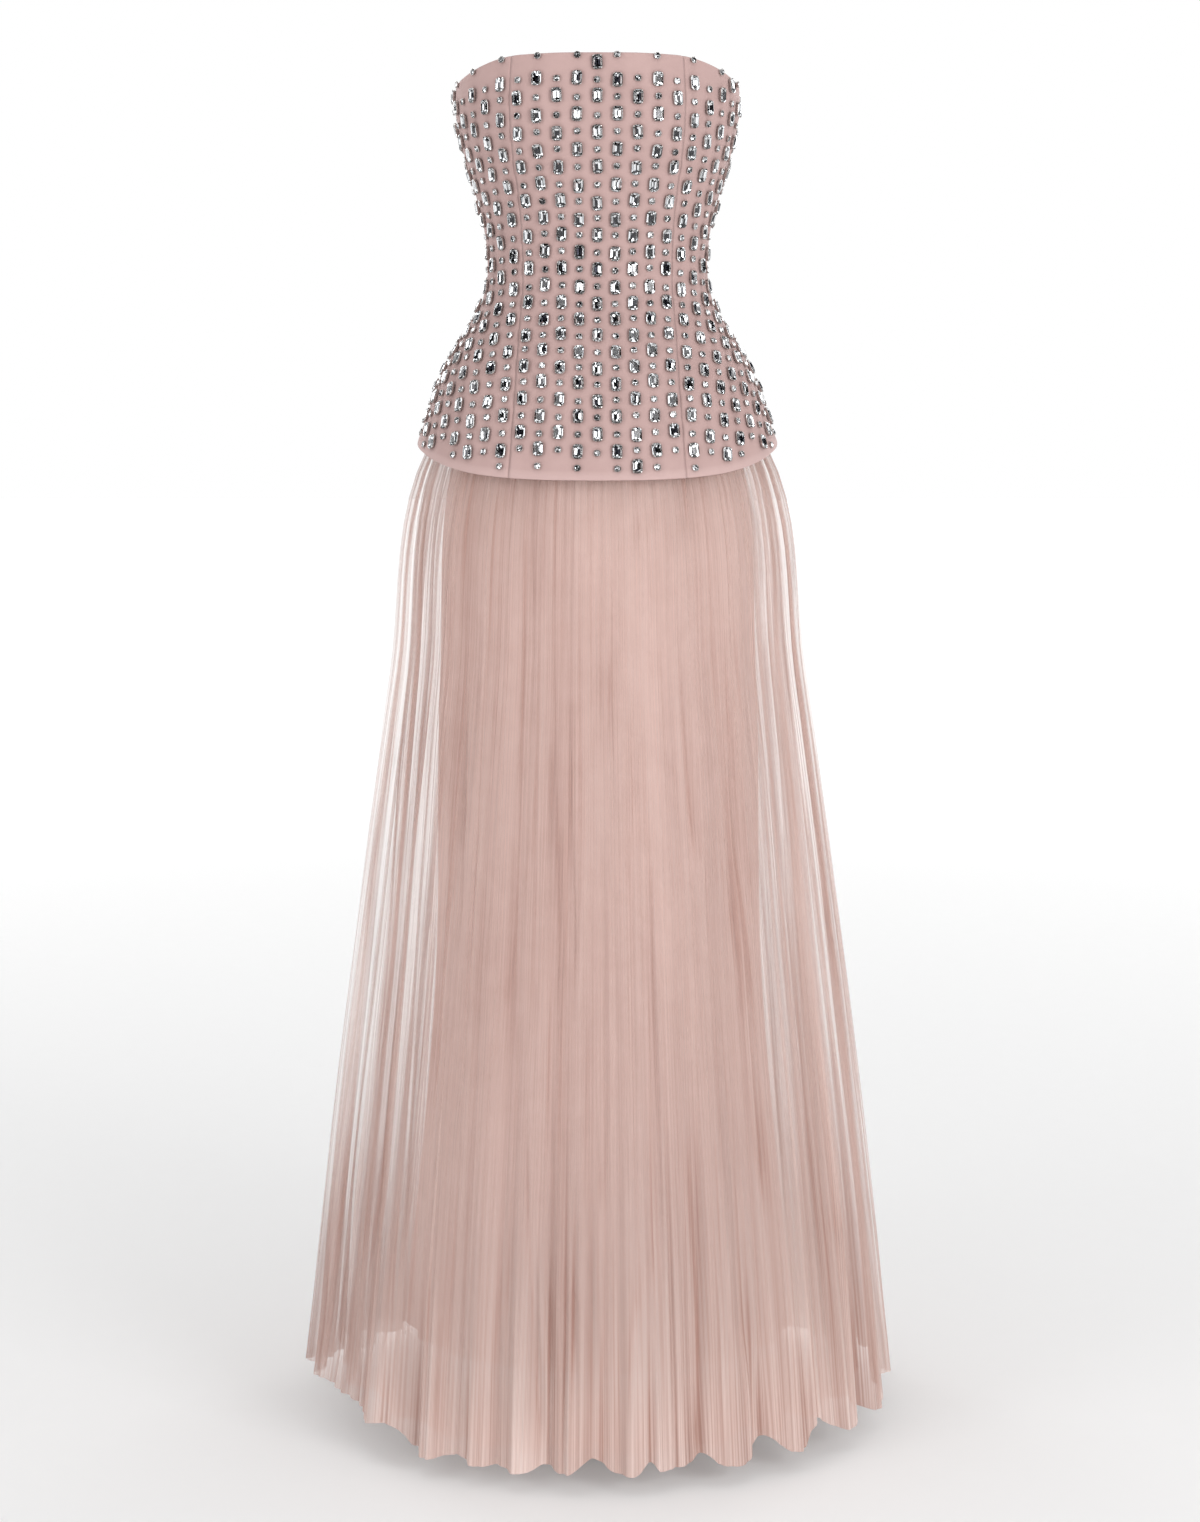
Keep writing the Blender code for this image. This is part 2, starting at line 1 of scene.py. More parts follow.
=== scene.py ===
import math
from collections import namedtuple

import bpy
import numpy as np
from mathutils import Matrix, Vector


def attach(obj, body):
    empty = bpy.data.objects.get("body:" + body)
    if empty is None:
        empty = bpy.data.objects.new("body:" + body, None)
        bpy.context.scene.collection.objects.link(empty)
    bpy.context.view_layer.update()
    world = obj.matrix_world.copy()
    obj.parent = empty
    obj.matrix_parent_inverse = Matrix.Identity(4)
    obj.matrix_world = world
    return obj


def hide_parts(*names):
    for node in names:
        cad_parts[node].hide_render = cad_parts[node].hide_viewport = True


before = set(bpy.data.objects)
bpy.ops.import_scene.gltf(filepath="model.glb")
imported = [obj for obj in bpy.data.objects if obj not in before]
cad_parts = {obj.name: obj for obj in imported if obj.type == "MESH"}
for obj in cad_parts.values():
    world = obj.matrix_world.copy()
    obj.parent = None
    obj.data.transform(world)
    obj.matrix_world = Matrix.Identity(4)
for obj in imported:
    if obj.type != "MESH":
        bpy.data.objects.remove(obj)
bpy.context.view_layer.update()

# Studio
# A white room with a pale floor just under the hem, a large soft light on the right of the camera,
# weaker ones on the left, above and behind, and the camera a little above the gown's middle,
# looking slightly down, far enough back that the hem curves only gently.
CAMERA_PLACE = (0.0025, -3.5, 0.0)
CAMERA_TILT = math.radians(8.0)
CAMERA_LENS = 83.6
FLOOR_HEIGHT = -1.152
FLOOR_REACH = 14.0
# Between these distances the floor's paint fades to black and its glow grows from the near share to
# full white. Near the gown the glow is painted light that lights the hem from below and pales its
# shadow.
FLOOR_FADE = (1.3, 4.5)
FLOOR_COLOUR = (0.88, 0.88, 0.88, 1.0)
FLOOR_EDGE = (0.0, 0.0, 0.0, 1.0)
FLOOR_NEAR_GLOW = 0.13
SPECKLE_SCALE = 40.0
ROOM_WHITE = (1.0, 1.0, 1.0, 1.0)
ROOM_FILL = 0.62
# The room that crystals mirror: how bright its light panels and the gaps are, how many panels and
# shelves of light there are, how much the shelves count, and where a panel's edge lies.
PANEL_LIGHT = 2.9
PANEL_DARK = 0.015
LIGHT_PANELS = 8.0
LIGHT_SHELVES = 9.0
SHELF_SHARE = 0.7
PANEL_EDGE = (-0.20, 0.02)
# The front of that room is dark: where the darkness begins and is whole, as a share of a step
# straight to the front.
CAMERA_SHADE = (0.80, 0.86)
SoftLight = namedtuple("SoftLight", "name place aim width height power")
SOFT_LIGHTS = (
    SoftLight("key_light", (2.0, -2.9, 0.30), (0.0, 0.0, -0.35), 1.5, 1.6, 54.0),
    SoftLight("fill_light", (-2.6, -2.6, 0.1), (0.0, 0.0, -0.7), 1.4, 2.4, 27.0),
    SoftLight("top_light", (0.0, -0.3, 2.9), (0.0, 0.0, 0.0), 1.6, 1.6, 8.0),
    SoftLight("back_light_left", (2.2, 3.0, 1.6), (0.0, 0.0, -0.3), 1.4, 2.2, 19.0),
    SoftLight("back_light_right", (-2.2, 3.0, 1.6), (0.0, 0.0, -0.3), 1.4, 2.2, 19.0),
)


def fill(tree, node, inputs):
    """Sets a node's inputs: each to a value, or linked from another node's output."""
    for name, value in inputs.items():
        if isinstance(value, bpy.types.NodeSocket):
            tree.links.new(value, node.inputs[name])
        else:
            node.inputs[name].default_value = value


def add_node(tree, kind, inputs=None, **settings):
    """One shader node with its settings and inputs."""
    made = tree.nodes.new(kind)
    for name, value in settings.items():
        setattr(made, name, value)
    fill(tree, made, inputs or {})
    return made


def maths(tree, operation, first, second=0.0, third=0.0):
    """Output of a Math node on two or three numbers or outputs."""
    inputs = {0: first, 1: second, 2: third}
    return add_node(tree, "ShaderNodeMath", inputs, operation=operation).outputs[0]


def mixed(tree, share, first, second, blend="MIX"):
    """Output of a colour mix: first at share 0, second at share 1."""
    inputs = {0: share, 6: first, 7: second}
    made = add_node(tree, "ShaderNodeMix", inputs, data_type="RGBA", blend_type=blend)
    return made.outputs[2]


def remapped(tree, value, low, high, to_low, to_high):
    """Output of a Map Range node, which keeps within its two ends."""
    inputs = {0: value, 1: low, 2: high, 3: to_low, 4: to_high}
    return add_node(tree, "ShaderNodeMapRange", inputs).outputs[0]


def own_place(tree):
    """A piece's own coordinates."""
    return add_node(tree, "ShaderNodeTexCoord").outputs["Object"]


def noise(tree, place, scale, dimensions="3D", **more):
    """Output of a Noise node at that place and scale."""
    inputs = {"Vector": place, "Scale": scale, **more}
    made = add_node(tree, "ShaderNodeTexNoise", inputs, noise_dimensions=dimensions)
    return made.outputs["Fac"]


def new_material(name):
    """A material with its node tree and its Principled shader."""
    made = bpy.data.materials.new(name)
    made.use_nodes = True
    return made, made.node_tree, made.node_tree.nodes["Principled BSDF"]


scene = bpy.context.scene
camera_data = bpy.data.cameras.new("camera")
camera_data.lens = CAMERA_LENS
camera_data.sensor_width = 36.0
camera = bpy.data.objects.new("camera", camera_data)
camera.location = CAMERA_PLACE
camera.rotation_euler = (math.pi / 2 - CAMERA_TILT, 0.0, 0.0)
scene.collection.objects.link(camera)
scene.camera = camera
scene.view_settings.view_transform = "Standard"
scene.cycles.transparent_max_bounces = 24
scene.cycles.max_bounces = 7
scene.cycles.diffuse_bounces = 2
scene.cycles.glossy_bounces = 4
scene.cycles.transmission_bounces = 6
scene.cycles.caustics_reflective = False
scene.cycles.caustics_refractive = False

for light in SOFT_LIGHTS:
    lamp = bpy.data.lights.new(light.name, "AREA")
    lamp.shape = "RECTANGLE"
    lamp.size, lamp.size_y = light.width, light.height
    lamp.energy = light.power
    stand = bpy.data.objects.new(light.name, lamp)
    stand.location = light.place
    towards = Vector(light.aim) - Vector(light.place)
    stand.rotation_euler = towards.to_track_quat("-Z", "Y").to_euler()
    scene.collection.objects.link(stand)

# The room is white to the camera and to the cloth. What the crystals mirror is a studio's tall
# light panels with dark gaps between them and a dark front.
room = bpy.data.worlds.new("room")
room.use_nodes = True
scene.world = room
sky = room.node_tree
towards = add_node(sky, "ShaderNodeTexCoord").outputs["Generated"]
parts = add_node(sky, "ShaderNodeSeparateXYZ", {0: towards})
bearing = maths(sky, "ARCTAN2", parts.outputs[1], parts.outputs[0])
panels = maths(sky, "COSINE", maths(sky, "MULTIPLY", bearing, LIGHT_PANELS))
shelves = maths(sky, "COSINE", maths(sky, "MULTIPLY", parts.outputs[2], LIGHT_SHELVES))
dark = maths(sky, "ADD", panels, maths(sky, "MULTIPLY", shelves, SHELF_SHARE))
lit = remapped(sky, dark, *PANEL_EDGE, 1.0, 0.0)
ahead = maths(sky, "MULTIPLY", parts.outputs[1], -1.0)
lit = maths(sky, "MULTIPLY", lit, remapped(sky, ahead, *CAMERA_SHADE, 1.0, 0.0))
panel_light = remapped(sky, lit, 0.0, 1.0, PANEL_DARK, PANEL_LIGHT)
rays = add_node(sky, "ShaderNodeLightPath").outputs
sharp = maths(sky, "MAXIMUM", rays["Is Glossy Ray"], rays["Is Transmission Ray"])
beyond = maths(sky, "SUBTRACT", panel_light, ROOM_FILL)
strength = maths(sky, "MULTIPLY_ADD", sharp, beyond, ROOM_FILL)
beyond = maths(sky, "SUBTRACT", 1.0, strength)
strength = maths(sky, "MULTIPLY_ADD", rays["Is Camera Ray"], beyond, strength)
sky.nodes["Background"].inputs["Color"].default_value = ROOM_WHITE
sky.links.new(strength, sky.nodes["Background"].inputs["Strength"])

floor_mesh = bpy.data.meshes.new("floor")
corners = ((-1, -1), (1, -1), (1, 1), (-1, 1))
floor_mesh.from_pydata(
    [(x * FLOOR_REACH, y * FLOOR_REACH, FLOOR_HEIGHT) for x, y in corners], [], [(0, 1, 2, 3)]
)
floor = bpy.data.objects.new("floor", floor_mesh)
scene.collection.objects.link(floor)
# The floor glows: faintly near the gown, as painted light on the hem and in its shadow, and fully
# white far off.
floor_finish, tree, shader = new_material("glowing_floor_paint")
place = own_place(tree)
away = add_node(tree, "ShaderNodeVectorMath", {0: place}, operation="LENGTH").outputs["Value"]
floor_glow = remapped(tree, away, *FLOOR_FADE, FLOOR_NEAR_GLOW, 1.0)
speckle = noise(tree, place, SPECKLE_SCALE)
fill(tree, shader, {
    "Base Color": mixed(tree, floor_glow, FLOOR_COLOUR, FLOOR_EDGE),
    "Emission Strength": floor_glow,
    "Emission Color": ROOM_WHITE,
    "Roughness": remapped(tree, speckle, 0.3, 0.7, 0.78, 0.86),
})
floor_mesh.materials.append(floor_finish)

# Bodice cloth
# The bodice and its flared peplum are cut in one from seven panels of heavy matt crepe, backed and
# boned so that they keep a body's form. The panels meet in plain princess, side and back seams,
# and their top edge and hem are turned in over the backing.
MM = 0.001
# The crepe's colour, and the darker one that its random patches and the painted shade round the
# crystals and in the seams go towards.
BODICE_COLOUR = (0.535, 0.364, 0.343, 1.0)
BODICE_SHADE = (0.350, 0.215, 0.196, 1.0)
SEAM_GAP = 0.3
ZIP_SLOT = 1.6
SHELL_WALL = 2.0
ROUNDNESS = 2.15
Section = namedtuple(
    "Section", "height half_width front_depth back_depth front_seam back_seam pitch"
)
BODICE = [Section(*row) for row in (
    (-215, 191.0, 152.0, 154.0, 88, 86, 18.3), (-180, 179.5, 144.0, 147.0, 85, 83, 18.2),
    (-150, 169.0, 136.0, 140.0, 83, 81, 18.1), (-120, 158.0, 126.5, 131.0, 81, 79, 18.0),
    (-100, 149.5, 118.5, 122.5, 80, 78, 17.9), (-80, 138.5, 109.0, 112.5, 79, 77, 17.8),
    (-60, 126.0, 99.0, 101.5, 78, 76, 17.7), (-40, 115.0, 91.0, 92.0, 77, 75, 17.6),
    (-20, 109.0, 86.8, 86.0, 76, 74, 17.5), (0, 107.5, 86.0, 83.5, 76, 73, 17.5),
    (30, 110.0, 89.0, 84.0, 77, 74, 17.6), (60, 117.0, 95.5, 87.0, 79, 76, 18.0),
    (90, 125.5, 102.5, 91.0, 83, 78, 18.6), (120, 133.5, 108.0, 95.0, 86, 80, 19.2),
    (150, 138.5, 111.0, 98.0, 87, 81, 19.4), (180, 136.5, 109.5, 98.0, 86, 80, 19.4),
    (210, 132.0, 106.0, 96.0, 84, 78, 19.4),
)]
# The two cups, as a swell forward of the front.
CUP_DEPTH = 9.0
CUP_APART = 70.0
CUP_WIDTH = 48.0
CUP_HEIGHT = 132.0
CUP_TALL = 58.0
# Top edge and peplum hem, by the fraction of the way round from centre front to centre back.
Edge = namedtuple("Edge", "fraction top hem")
EDGES = (
    Edge(0.00, 198.0, -203.0),
    Edge(0.13, 197.5, -202.0),
    Edge(0.25, 194.0, -197.0),
    Edge(0.33, 186.5, -189.0),
    Edge(0.40, 178.5, -181.0),
    Edge(0.50, 170.0, -173.5),
    Edge(0.75, 165.0, -181.0),
    Edge(1.00, 163.0, -189.0),
)
# Panels: the seam each starts and ends at, its side (0 over the centre front, 1 the wearer's left,
# -1 the right), how many columns of crystals fill it (0 where they run a set distance apart from
# its front or back seam), whether its first column starts half a repeat down, the seed of its small
# unevenness, and its cut as it shows: width and length in metres, and area in square metres.
Panel = namedtuple("Panel", "name start end side columns later seed cut area")
PANELS = (
    Panel("bodice_front", "front", "front", 0, 9, 0, 11, (0.176, 0.426), 0.068),
    Panel("bodice_side_front_left", "front", "side", 1, 0, 1, 12, (0.190, 0.420), 0.052),
    Panel("bodice_side_front_right", "front", "side", -1, 0, 1, 13, (0.190, 0.420), 0.052),
    Panel("bodice_side_back_left", "side", "back", 1, 0, 0, 14, (0.190, 0.380), 0.046),
    Panel("bodice_side_back_right", "side", "back", -1, 0, 0, 15, (0.190, 0.380), 0.046),
    Panel("bodice_back_left", "back", "centre_back", 1, 4, 1, 16, (0.086, 0.380), 0.029),
    Panel("bodice_back_right", "back", "centre_back", -1, 4, 0, 17, (0.086, 0.380), 0.029),
)
CLOTH_STEP = 2.9
FOLD_STEPS = 4
# Seams: how far the turned edges dip and over what width, how dark the shade painted in the
# dip is and over what width, and the allowance pressed flat under them, with its soft edge.
SEAM_DIP = 0.4
SEAM_DIP_WIDTH = 1.1
SEAM_SHADE = 0.3
SEAM_SHADE_WIDTH = 1.6
ALLOWANCE_RISE = 0.16
ALLOWANCE_WIDTH = 11.0
ALLOWANCE_SOFT = 0.8
# Each crystal draws the cloth in under it, and shade is painted on the cloth round it. A small
# one does so by a share of that, and both reach further up and down than across.
DIMPLE_DEPTH = 0.45
DIMPLE_REACH = 8.0
DIMPLE_TALL = 0.75
SMALL_DIMPLE = 0.6
SHADE_REACH = 6.2
# The turned hem stands up a little, and light on it is painted as a paler band.
HEM_BAND = 7.0
HEM_BAND_SOFT = 0.6
HEM_BAND_START = 2.0
HEM_BAND_RISE = 0.25
BAND_PAINTED_LIGHT = (0.60, 0.425, 0.405, 1.0)
# Soft creases: place as arc from the centre front and height, direction of the length from level
# (degrees), length, width and depth, in millimetres. Each has a lower ridge above it.
Crease = namedtuple("Crease", "arc height lean length width depth")
BODICE_CREASES = [Crease(*row) for row in (
    (38, 158, -24, 62, 6.5, 0.55), (-36, 150, 20, 70, 7.5, 0.60),
    (14, 96, 8, 54, 6.0, 0.35), (-22, 92, -6, 46, 6.5, 0.40),
    (66, 88, -32, 58, 6.5, 0.60), (-70, 84, 36, 66, 7.0, 0.70),
    (88, 120, -14, 48, 6.0, 0.50), (-92, 112, 18, 52, 6.5, 0.45),
    (118, 36, -22, 62, 7.0, 0.75), (-120, 28, 26, 70, 7.5, 0.85),
    (126, 6, -8, 56, 6.0, 0.70), (-128, -4, 6, 60, 6.5, 0.65),
    (104, -18, 10, 54, 6.5, 0.45), (-98, -22, -12, 48, 6.0, 0.50),
    (30, -30, 4, 60, 7.5, 0.30), (-34, 18, -5, 52, 7.0, 0.30),
    (76, -120, 78, 90, 11.0, 0.80), (-60, -130, -82, 100, 12.0, 0.75),
    (150, -110, 80, 96, 12.0, 1.00), (-158, -118, -76, 90, 11.5, 0.95),
    (190, 22, 12, 56, 6.5, 0.70), (-196, 30, -16, 60, 7.0, 0.75),
    (214, -6, -8, 50, 6.0, 0.55), (-210, -10, 10, 54, 6.5, 0.60),
    (248, 64, 18, 58, 7.0, 0.55), (-252, 58, -14, 52, 6.5, 0.60),
    (236, -126, -80, 92, 12.0, 0.85), (-240, -118, 78, 96, 11.0, 0.90),
    (300, -130, 84, 84, 11.0, 0.70), (-296, -122, -80, 88, 12.0, 0.75),
)]
RIDGE_SHARE = 0.5
RIDGE_ASIDE = 1.9
# Crepe: threads a metre, how much the pebbles count, and how dark the cloth is from the painted
# shade round the crystals, in its uneven patches, and from the painted shade between its threads.
CREPE_THREADS = 1500.0
CREPE_PEBBLE = 0.65
STONE_SHADE = 0.62
PATCH_SHADE = 0.22
THREAD_SHADE = (0.90, 1.04)
BAND_SHARE = 0.6
TURN = np.linspace(0.0, math.pi, 181)


def read(table, name, at):
    """Cubic curve through one column of a table against its first column, read where asked."""
    place = np.array([row[0] for row in table], float)
    value = np.array([getattr(row, name) for row in table], float)
    slope = np.gradient(value, place)
    at = np.asarray(at, float)
    low = np.clip(np.searchsorted(place, at) - 1, 0, len(place) - 2)
    gap = place[low + 1] - place[low]
    t = np.clip((at - place[low]) / gap, 0.0, 1.0)
    ends = (2 * t**3 - 3 * t**2 + 1) * value[low] + (3 * t**2 - 2 * t**3) * value[low + 1]
    bend = (t**3 - 2 * t**2 + t) * slope[low] + (t**3 - t**2) * slope[low + 1]
    return ends + gap * bend


def oval(angle, half_width, front_depth, back_depth, roundness):
    """Squared oval: sine and cosine of the angle from the centre front, each to a power."""
    sine, cosine = np.sin(angle), np.cos(angle)
    power = 2.0 / roundness
    depth = np.where(cosine > 0, front_depth, back_depth)
    x = half_width * np.sign(sine) * np.abs(sine) ** power
    y = -depth * np.sign(cosine) * np.abs(cosine) ** power
    return x, y


def bodice_point(angle, height, inset=0.0):
    """Points of the bodice's outer face, or of a face that much further in: the oval at that
    height, with the two cups swelling forward as bell curves across and up."""
    angle, height = np.broadcast_arrays(np.asarray(angle, float), np.asarray(height, float))
    half_width = read(BODICE, "half_width", height) - inset
    front_depth = read(BODICE, "front_depth", height) - inset
    back_depth = read(BODICE, "back_depth", height) - inset
    x, y = oval(angle, half_width, front_depth, back_depth, ROUNDNESS)
    beside = ((np.abs(x) - CUP_APART) / CUP_WIDTH) ** 2
    above = ((height - CUP_HEIGHT) / CUP_TALL) ** 2
    y = y - CUP_DEPTH * np.exp(-beside - above) * np.clip(np.cos(angle), 0.0, 1.0)
    return np.stack([x, y, height], axis=-1)


def arc_lengths(height):
    """Arc from the centre front to each angle of TURN, one row for each height."""
    ring = bodice_point(TURN[None, :], np.asarray(height, float).reshape(-1, 1))
    step = np.linalg.norm(np.diff(ring, axis=1), axis=2)
    return np.concatenate([np.zeros((len(step), 1)), np.cumsum(step, axis=1)], axis=1)


LEVELS = np.arange(BODICE[0].height, BODICE[-1].height + 1.0)
LEVEL_ARCS = arc_lengths(LEVELS)
SHARES = np.linspace(0.0, 1.0, 541)
TURN_AT_SHARE = np.array([np.interp(SHARES, row / row[-1], TURN) for row in LEVEL_ARCS])


def half_girth(height):
    """Arc from the centre front to the centre back at each height."""
    return np.interp(height, LEVELS, LEVEL_ARCS[:, -1])


def cloth_point(arc, height, inset=0.0):
    """Points at an arc and a height, the angle read between the levels and shares of the girth."""
    arc, height = np.broadcast_arrays(np.asarray(arc, float), np.asarray(height, float))
    level = np.clip(height - LEVELS[0], 0.0, len(LEVELS) - 1.001)
    share = np.clip(np.abs(arc) / half_girth(height), 0.0, 1.0) * (len(SHARES) - 1.001)
    i, j = level.astype(int), share.astype(int)
    a, b = level - i, share - j
    angle = (1 - a) * ((1 - b) * TURN_AT_SHARE[i, j] + b * TURN_AT_SHARE[i, j + 1]) + a * (
        (1 - b) * TURN_AT_SHARE[i + 1, j] + b * TURN_AT_SHARE[i + 1, j + 1]
    )
    return bodice_point(np.sign(arc) * angle, height, inset)


def seam_arc(seam, height):
    """Arc of a seam at each height, on the wearer's left."""
    if seam == "front":
        return read(BODICE, "front_seam", height)
    if seam == "side":
        return np.interp(height, LEVELS, LEVEL_ARCS[:, len(TURN) // 2])
    if seam == "back":
        return half_girth(height) - read(BODICE, "back_seam", height)
    return half_girth(height) - ZIP_SLOT / 2 + SEAM_GAP / 2


def panel_limits(panel, height):
    """Lowest and highest arc of a panel's cloth at each height."""
    start, end = seam_arc(panel.start, height), seam_arc(panel.end, height)
    if panel.side == 0:
        start = -start
    if panel.side < 0:
        start, end = -end, -start
    return start + SEAM_GAP / 2, end - SEAM_GAP / 2


def edge_height(which, arc, height):
    """Height of the top edge or of the hem at an arc."""
    return read(EDGES, which, np.abs(arc) / half_girth(height))


def edge_line(panel, which, across):
    """Heights along a panel's top edge or hem, at fractions of its width, found by repetition."""
    height = np.full(len(across), getattr(EDGES[0], which), float)
    for _ in range(8):
        low, high = panel_limits(panel, height)
        height = edge_height(which, low + across * (high - low), height)
    return height


# Where the crystals are sewn, in columns down each panel: large ones one repeat apart along the
# slant, neighbouring columns half a repeat apart, a small round one halfway between two large.
STONE_WIDTH = 9.6
STONE_LENGTH = 13.8
STONE_REPEAT = 33.0
STONE_MARGIN = 1.3
STONE_TO_HEM = 5.0
STONE_DRIFT = 1.4
STONE_LEAN = math.radians(4.0)
FIRST_STONE = 8.6
MOST_COLUMNS = 12
COLUMN_STEP = 5.0
SMALL_SIDE_MARGIN = 4.1
SMALL_TOP_MARGIN = 1.2
SMALL_HEM_MARGIN = 4.5
SMALL_ABOVE = 10.0
SMALL_FIRST = 2.4
SMALL_NEAR_TOP = 4.0
SMALL_CLEAR = 10.8
SMALL_DRIFT = 1.1
SMALL_SEED = 100
CORNERS = np.array([(-1, -1), (1, -1), (1, 1), (-1, 1)], float)
Stones = namedtuple("Stones", "arc height place across along outward")


def column_line(panel, column, height):
    """Arc of a column of crystals at each height: an even share of the panel, or so many steps
    from its front or back seam."""
    if panel.columns:
        low, high = panel_limits(panel, height)
        return low + (high - low) * (column + 0.5) / panel.columns
    step = (column + 0.5) * read(BODICE, "pitch", height)
    if panel.start == "front":
        return panel.side * (seam_arc("front", height) + step)
    return panel.side * (seam_arc("back", height) - step)


def stone_frames(panel, column, arc, height, lean):
    """Each crystal's place and directions: its length runs down the column and its width square to
    that in the cloth, both turned by its lean. Also the arc and height of a step each way."""
    here = cloth_point(arc, height)
    by_arc = (cloth_point(arc + 1, height) - cloth_point(arc - 1, height)) / 2
    by_height = (cloth_point(arc, height + 1) - cloth_point(arc, height - 1)) / 2
    drift = (column_line(panel, column, height + 1) - column_line(panel, column, height - 1)) / 2
    along = by_arc * drift[:, None] + by_height
    length = np.linalg.norm(along, axis=1)[:, None]
    along = along / length
    along_step = np.column_stack([drift, np.ones_like(drift)]) / length
    shared = np.sum(by_arc * along, axis=1)[:, None]
    across = by_arc - shared * along
    width = np.linalg.norm(across, axis=1)[:, None]
    across = across / width
    across_step = (np.array([[1.0, 0.0]]) - shared * along_step) / width
    cosine, sine = np.cos(lean)[:, None], np.sin(lean)[:, None]
    along, across = along * cosine + across * sine, across * cosine - along * sine
    along_step, across_step = (
        along_step * cosine + across_step * sine,
        across_step * cosine - along_step * sine,
    )
    stones = Stones(arc, height, here, across, along, np.cross(across, along))
    return stones, across_step, along_step


def large_fit(panel, stones, across_step, along_step):
    """Which large crystals have all four corners on the panel's cloth."""
    centre = np.column_stack([stones.arc, stones.height])[:, None, :]
    corners = (
        centre
        + CORNERS[None, :, :1] * across_step[:, None, :] * STONE_WIDTH / 2
        + CORNERS[None, :, 1:] * along_step[:, None, :] * STONE_LENGTH / 2
    )
    arc, height = corners[..., 0], corners[..., 1]
    low, high = panel_limits(panel, height)
    inside = (arc > low + STONE_MARGIN) & (arc < high - STONE_MARGIN)
    inside &= height < edge_height("top", arc, height) - STONE_MARGIN
    inside &= height > edge_height("hem", arc, height) + STONE_TO_HEM
    return inside.all(axis=1)


def small_fit(panel, stones):
    """Which small crystals lie clear of the panel's seams and edges."""
    low, high = panel_limits(panel, stones.height)
    inside = (stones.arc > low + SMALL_SIDE_MARGIN) & (stones.arc < high - SMALL_SIDE_MARGIN)
    inside &= stones.height < edge_height("top", stones.arc, stones.height) - SMALL_TOP_MARGIN
    inside &= stones.height > edge_height("hem", stones.arc, stones.height) + SMALL_HEM_MARGIN
    return inside


def chosen(stones, keep):
    """The crystals that a mask keeps."""
    return Stones(*(value[keep] for value in stones))


def panel_stones(panel):
    """Every large and every small crystal of a panel. A small one that falls near the top edge is
    set just under it, and left out where the first large one is too close."""
    large_random = np.random.default_rng(panel.seed)
    small_random = np.random.default_rng(panel.seed + SMALL_SEED)
    heights = np.arange(BODICE[-1].height, BODICE[0].height, -COLUMN_STEP, dtype=float)
    lowest, highest = panel_limits(panel, heights)
    large, small = [], []
    for column in range(panel.columns or MOST_COLUMNS):
        line = np.clip(column_line(panel, column, heights), lowest, highest)
        down = cloth_point(line, heights)
        run = np.concatenate([[0.0], np.cumsum(np.linalg.norm(np.diff(down, axis=0), axis=1))])
        top = np.interp(0.0, edge_height("top", line, heights) - heights, run)
        start = top + FIRST_STONE + (column + panel.later) % 2 * STONE_REPEAT / 2
        count = int((run[-1] - start) / STONE_REPEAT) + 1
        places = start + STONE_REPEAT * np.arange(count)
        places = places + large_random.uniform(-STONE_DRIFT, STONE_DRIFT, count)
        lean = large_random.uniform(-STONE_LEAN, STONE_LEAN, count)
        between = start + STONE_REPEAT * (np.arange(count + 1) - 0.5)
        between = between + small_random.uniform(-SMALL_DRIFT, SMALL_DRIFT, count + 1)
        between = between[between > top - SMALL_ABOVE]
        if between[0] < top + FIRST_STONE + SMALL_NEAR_TOP:
            between[0] = top + SMALL_FIRST
        if places[0] - between[0] < SMALL_CLEAR:
            between = between[1:]
        for found, at, turn in ((large, places, lean), (small, between, np.zeros(len(between)))):
            height = np.interp(at, run, heights)
            arc = column_line(panel, column, height)
            low, high = panel_limits(panel, height)
            on_cloth = (arc > low) & (arc < high)
            if not on_cloth.any():
                continue
            stones, across_step, along_step = stone_frames(
                panel, column, arc[on_cloth], height[on_cloth], turn[on_cloth]
            )
            if found is large:
                keep = large_fit(panel, stones, across_step, along_step)
            else:
                keep = small_fit(panel, stones)
            found.append(chosen(stones, keep))
    return [Stones(*(np.concatenate(column) for column in zip(*found))) for found in (large, small)]


